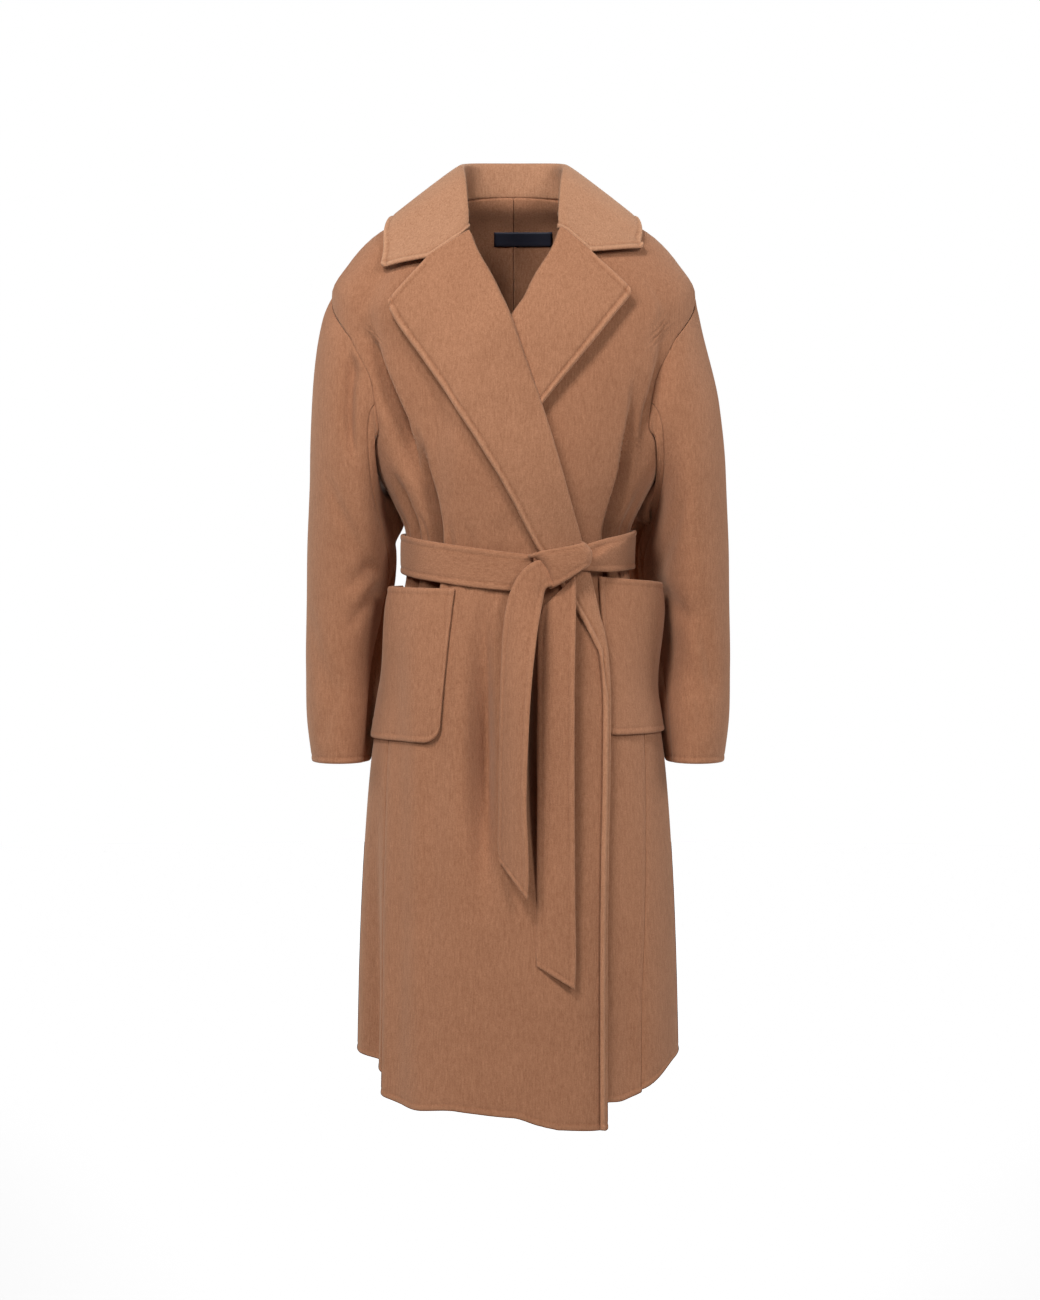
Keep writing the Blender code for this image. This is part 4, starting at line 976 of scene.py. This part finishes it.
def flip_if_inside_out(mesh):
    co = np.empty(len(mesh.vertices) * 3)
    mesh.vertices.foreach_get("co", co)
    mesh.calc_loop_triangles()
    tri = np.empty(len(mesh.loop_triangles) * 3, int)
    mesh.loop_triangles.foreach_get("vertices", tri)
    a, b, c = (co.reshape(-1, 3)[tri.reshape(-1, 3)[:, k]] for k in range(3))
    if np.einsum("ij,ij->i", a, np.cross(b, c)).sum() < 0:
        mesh.flip_normals()


def feed(tree, socket, value):
    """Set an input to a constant, or link it to the output that feeds it."""
    if isinstance(value, bpy.types.NodeSocket):
        tree.links.new(value, socket)
    else:
        socket.default_value = value


def node(tree, kind, inputs, **settings):
    made = tree.nodes.new(kind)
    made.location = (-NODE_STEP * len(tree.nodes), 0)
    for key, value in settings.items():
        setattr(made, key, value)
    for socket, value in inputs.items():
        feed(tree, made.inputs[socket], value)
    return made


def new_material(name, surface):
    """A material with its node tree and the inputs of its shader."""
    material = bpy.data.materials.new(name)
    material.use_nodes = True
    tree = material.node_tree
    shader = tree.nodes["Principled BSDF"]
    for socket, value in surface.items():
        shader.inputs[socket].default_value = value
    return material, tree, shader.inputs


def between(tree, share, colours):
    """Colour between a dark and a light one."""
    dark, light = ((*colour, 1.0) for colour in colours)
    return node(tree, "ShaderNodeMix", {0: share, 6: dark, 7: light}, data_type="RGBA").outputs[2]


def multiply_add(tree, value, factor, added):
    inputs = {0: value, 1: factor, 2: added}
    return node(tree, "ShaderNodeMath", inputs, operation="MULTIPLY_ADD").outputs[0]


def wool(name, colours, streaks):
    """Brushed wool: mottled camel with a fine nap along its grain."""
    material, tree, shader = new_material(name, WOOL_SURFACE)
    place = node(tree, "ShaderNodeTexCoord", {}).outputs["Object"]
    along = node(tree, "ShaderNodeMapping", {"Vector": place, "Scale": streaks}).outputs["Vector"]
    total = -0.5 * sum(noise.share for noise in WOOL_NOISES)
    for noise in WOOL_NOISES:
        inputs = {
            "Vector": along if noise.along_nap else place,
            "Scale": noise.scale, "Detail": noise.detail, "Roughness": NOISE_ROUGHNESS,
        }
        value = node(tree, "ShaderNodeTexNoise", inputs).outputs["Fac"]
        total = multiply_add(tree, value, noise.share, total)
    # Painted highlight on swollen edges and painted shade along stitches, added to the mottle
    puff = node(tree, "ShaderNodeAttribute", {}, attribute_name="puff").outputs["Fac"]
    mottle_and_painted_edge_light = multiply_add(tree, puff, EDGE_PAINTED_LIGHT_AND_SHADE, total)
    inputs = {"Value": mottle_and_painted_edge_light, "From Min": -MOTTLE_SPAN, "From Max": MOTTLE_SPAN}
    share = node(tree, "ShaderNodeMapRange", inputs).outputs[0]
    feed(tree, shader["Base Color"], between(tree, share, colours))
    bump = node(tree, "ShaderNodeBump", {"Strength": NAP_STRENGTH, "Distance": NAP_HEIGHT, "Height": total})
    feed(tree, shader["Normal"], bump.outputs[0])
    return material


def woven_label(name):
    material, tree, shader = new_material(name, {"Roughness": LABEL_ROUGHNESS})
    place = node(tree, "ShaderNodeTexCoord", {}).outputs["Object"]
    inputs = {"Vector": place, "Scale": LABEL_WEAVE}
    weave = node(tree, "ShaderNodeTexWave", inputs, wave_type="BANDS", bands_direction="Z")
    feed(tree, shader["Base Color"], between(tree, weave.outputs["Fac"], NAVY))
    return material


def make_coat():
    outside = wool("camel_wool", CAMEL, NAP_DOWN)
    # The reverse, on the inside and the turned lapels, is painted lighter than the face: painted light for
    # the lapels
    inside = wool("camel_wool_reverse", CAMEL_REVERSE_PAINTED_LIGHTER, NAP_DOWN)
    belt_wool = wool("camel_wool_belt", CAMEL, NAP_ACROSS)
    # The collar's wool is painted lighter, painted light for the collar tilting up to the lamps
    brushed = wool("camel_wool_collar", CAMEL_COLLAR_PAINTED_LIGHT, NAP_DOWN)
    two_faced, turned, belting = (outside, inside), (brushed, outside), (belt_wool,)

    def add(node_name, face, back, borders, materials=two_faced):
        cloth = f"{node_name}_cloth"
        add_cloth(cloth, face, back, borders, materials, [node_name])

    borders = ("left", "right", "top", "bottom")
    sewn = {**dict.fromkeys(borders, SEAM), "bottom": TURNED}
    stitched = {**dict.fromkeys(borders, FREE), "left": SEAM}
    plain = dict.fromkeys(borders, TURNED)
    for side, name in ((OVER, "front_over"), (UNDER, "front_under")):
        face, back = (round_corner(front_grid(side, d), "top", "left", LAPEL_CORNER) for d in (0.0, CLOTH))
        add(name, face, back, {**sewn, "left": FREE, "top": past_notch(side, face.shape[1])})
    for side, hand in ((OVER, "right"), (UNDER, "left")):
        add(f"back_{hand}", back_grid(side, 0.0), back_grid(side, CLOTH), sewn)
        for name in ("sleeve_top", "sleeve_under"):
            add(f"{name}_{hand}", sleeve_grid(side, name, 0.0), sleeve_grid(side, name, CLOTH), sewn)
    collar = round_corner(collar_grid(), "top", "right", COLLAR_CORNER)
    collar = round_corner(collar, "bottom", "right", COLLAR_CORNER)
    add("collar", behind(collar, CLOTH), collar, stitched, turned)
    for name, (side, pocket) in POCKETS.items():
        face = pocket_grid(side, pocket)
        add(name, behind(face, CLOTH * -side), face, plain, (outside,))
    belt = belt_grid()
    add("belt_band", belt, behind(belt, BELT_CLOTH), {**plain, "top": RAW, "bottom": RAW}, belting)
    knot = knot_grid()
    add("belt_knot", knot, behind(knot, BELT_CLOTH), {**plain, "left": RAW, "right": RAW}, belting)
    for name in TAILS:
        face = tail_grid(name)
        add(name, behind(face, -BELT_CLOTH), face, {**plain, "top": RAW}, (outside,))
    label = label_grid()
    navy = (woven_label("navy_label"),)
    add("neck_label", label, behind(label, LABEL_CLOTH), dict.fromkeys(borders, RAW), navy)


def make_camera():
    data = bpy.data.cameras.new("camera")
    data.sensor_fit, data.sensor_height = "VERTICAL", SENSOR
    data.lens = FOCAL_PIXELS / PHOTO_HEIGHT * SENSOR
    camera = bpy.data.objects.new("camera", data)
    camera.location = (CAMERA_ASIDE, -CAMERA_BACK, CAMERA_HEIGHT)
    camera.rotation_euler = (np.pi / 2 - CAMERA_DOWN, 0.0, 0.0)
    bpy.context.scene.collection.objects.link(camera)
    bpy.context.scene.camera = camera


def make_studio():
    scene = bpy.context.scene
    scene.view_settings.view_transform = "Standard"
    for light in LIGHTS:
        data = bpy.data.lights.new(light.name, "AREA")
        data.shape, data.size, data.energy = "DISK", light.size, light.power
        lamp = bpy.data.objects.new(light.name, data)
        lamp.location = light.place
        lamp.rotation_euler = (Vector(light.aim) - Vector(light.place)).to_track_quat("-Z", "Y").to_euler()
        scene.collection.objects.link(lamp)
    world = bpy.data.worlds.new("studio")
    world.use_nodes = True
    tree = world.node_tree
    ambient = tree.nodes["Background"]
    ambient.inputs["Color"].default_value = WHITE
    ambient.inputs["Strength"].default_value = AMBIENT
    seen = node(tree, "ShaderNodeLightPath", {}).outputs["Is Camera Ray"]
    white = node(tree, "ShaderNodeBackground", {"Color": WHITE})
    pick = node(tree, "ShaderNodeMixShader", {0: seen, 1: ambient.outputs[0], 2: white.outputs[0]})
    feed(tree, tree.nodes["World Output"].inputs[0], pick.outputs[0])
    scene.world = world
    bpy.ops.mesh.primitive_circle_add(vertices=FLOOR_SIDES, radius=FLOOR_RADIUS, fill_type="NGON")
    floor = bpy.context.object
    floor.name = "floor"
    floor.location = (0.0, 0.0, cad_box[0][2] - FLOOR_DROP)
    floor.data.materials.append(new_material("pale_floor", FLOOR_SURFACE)[0])
    floor.is_shadow_catcher = True


make_coat()
make_camera()
make_studio()
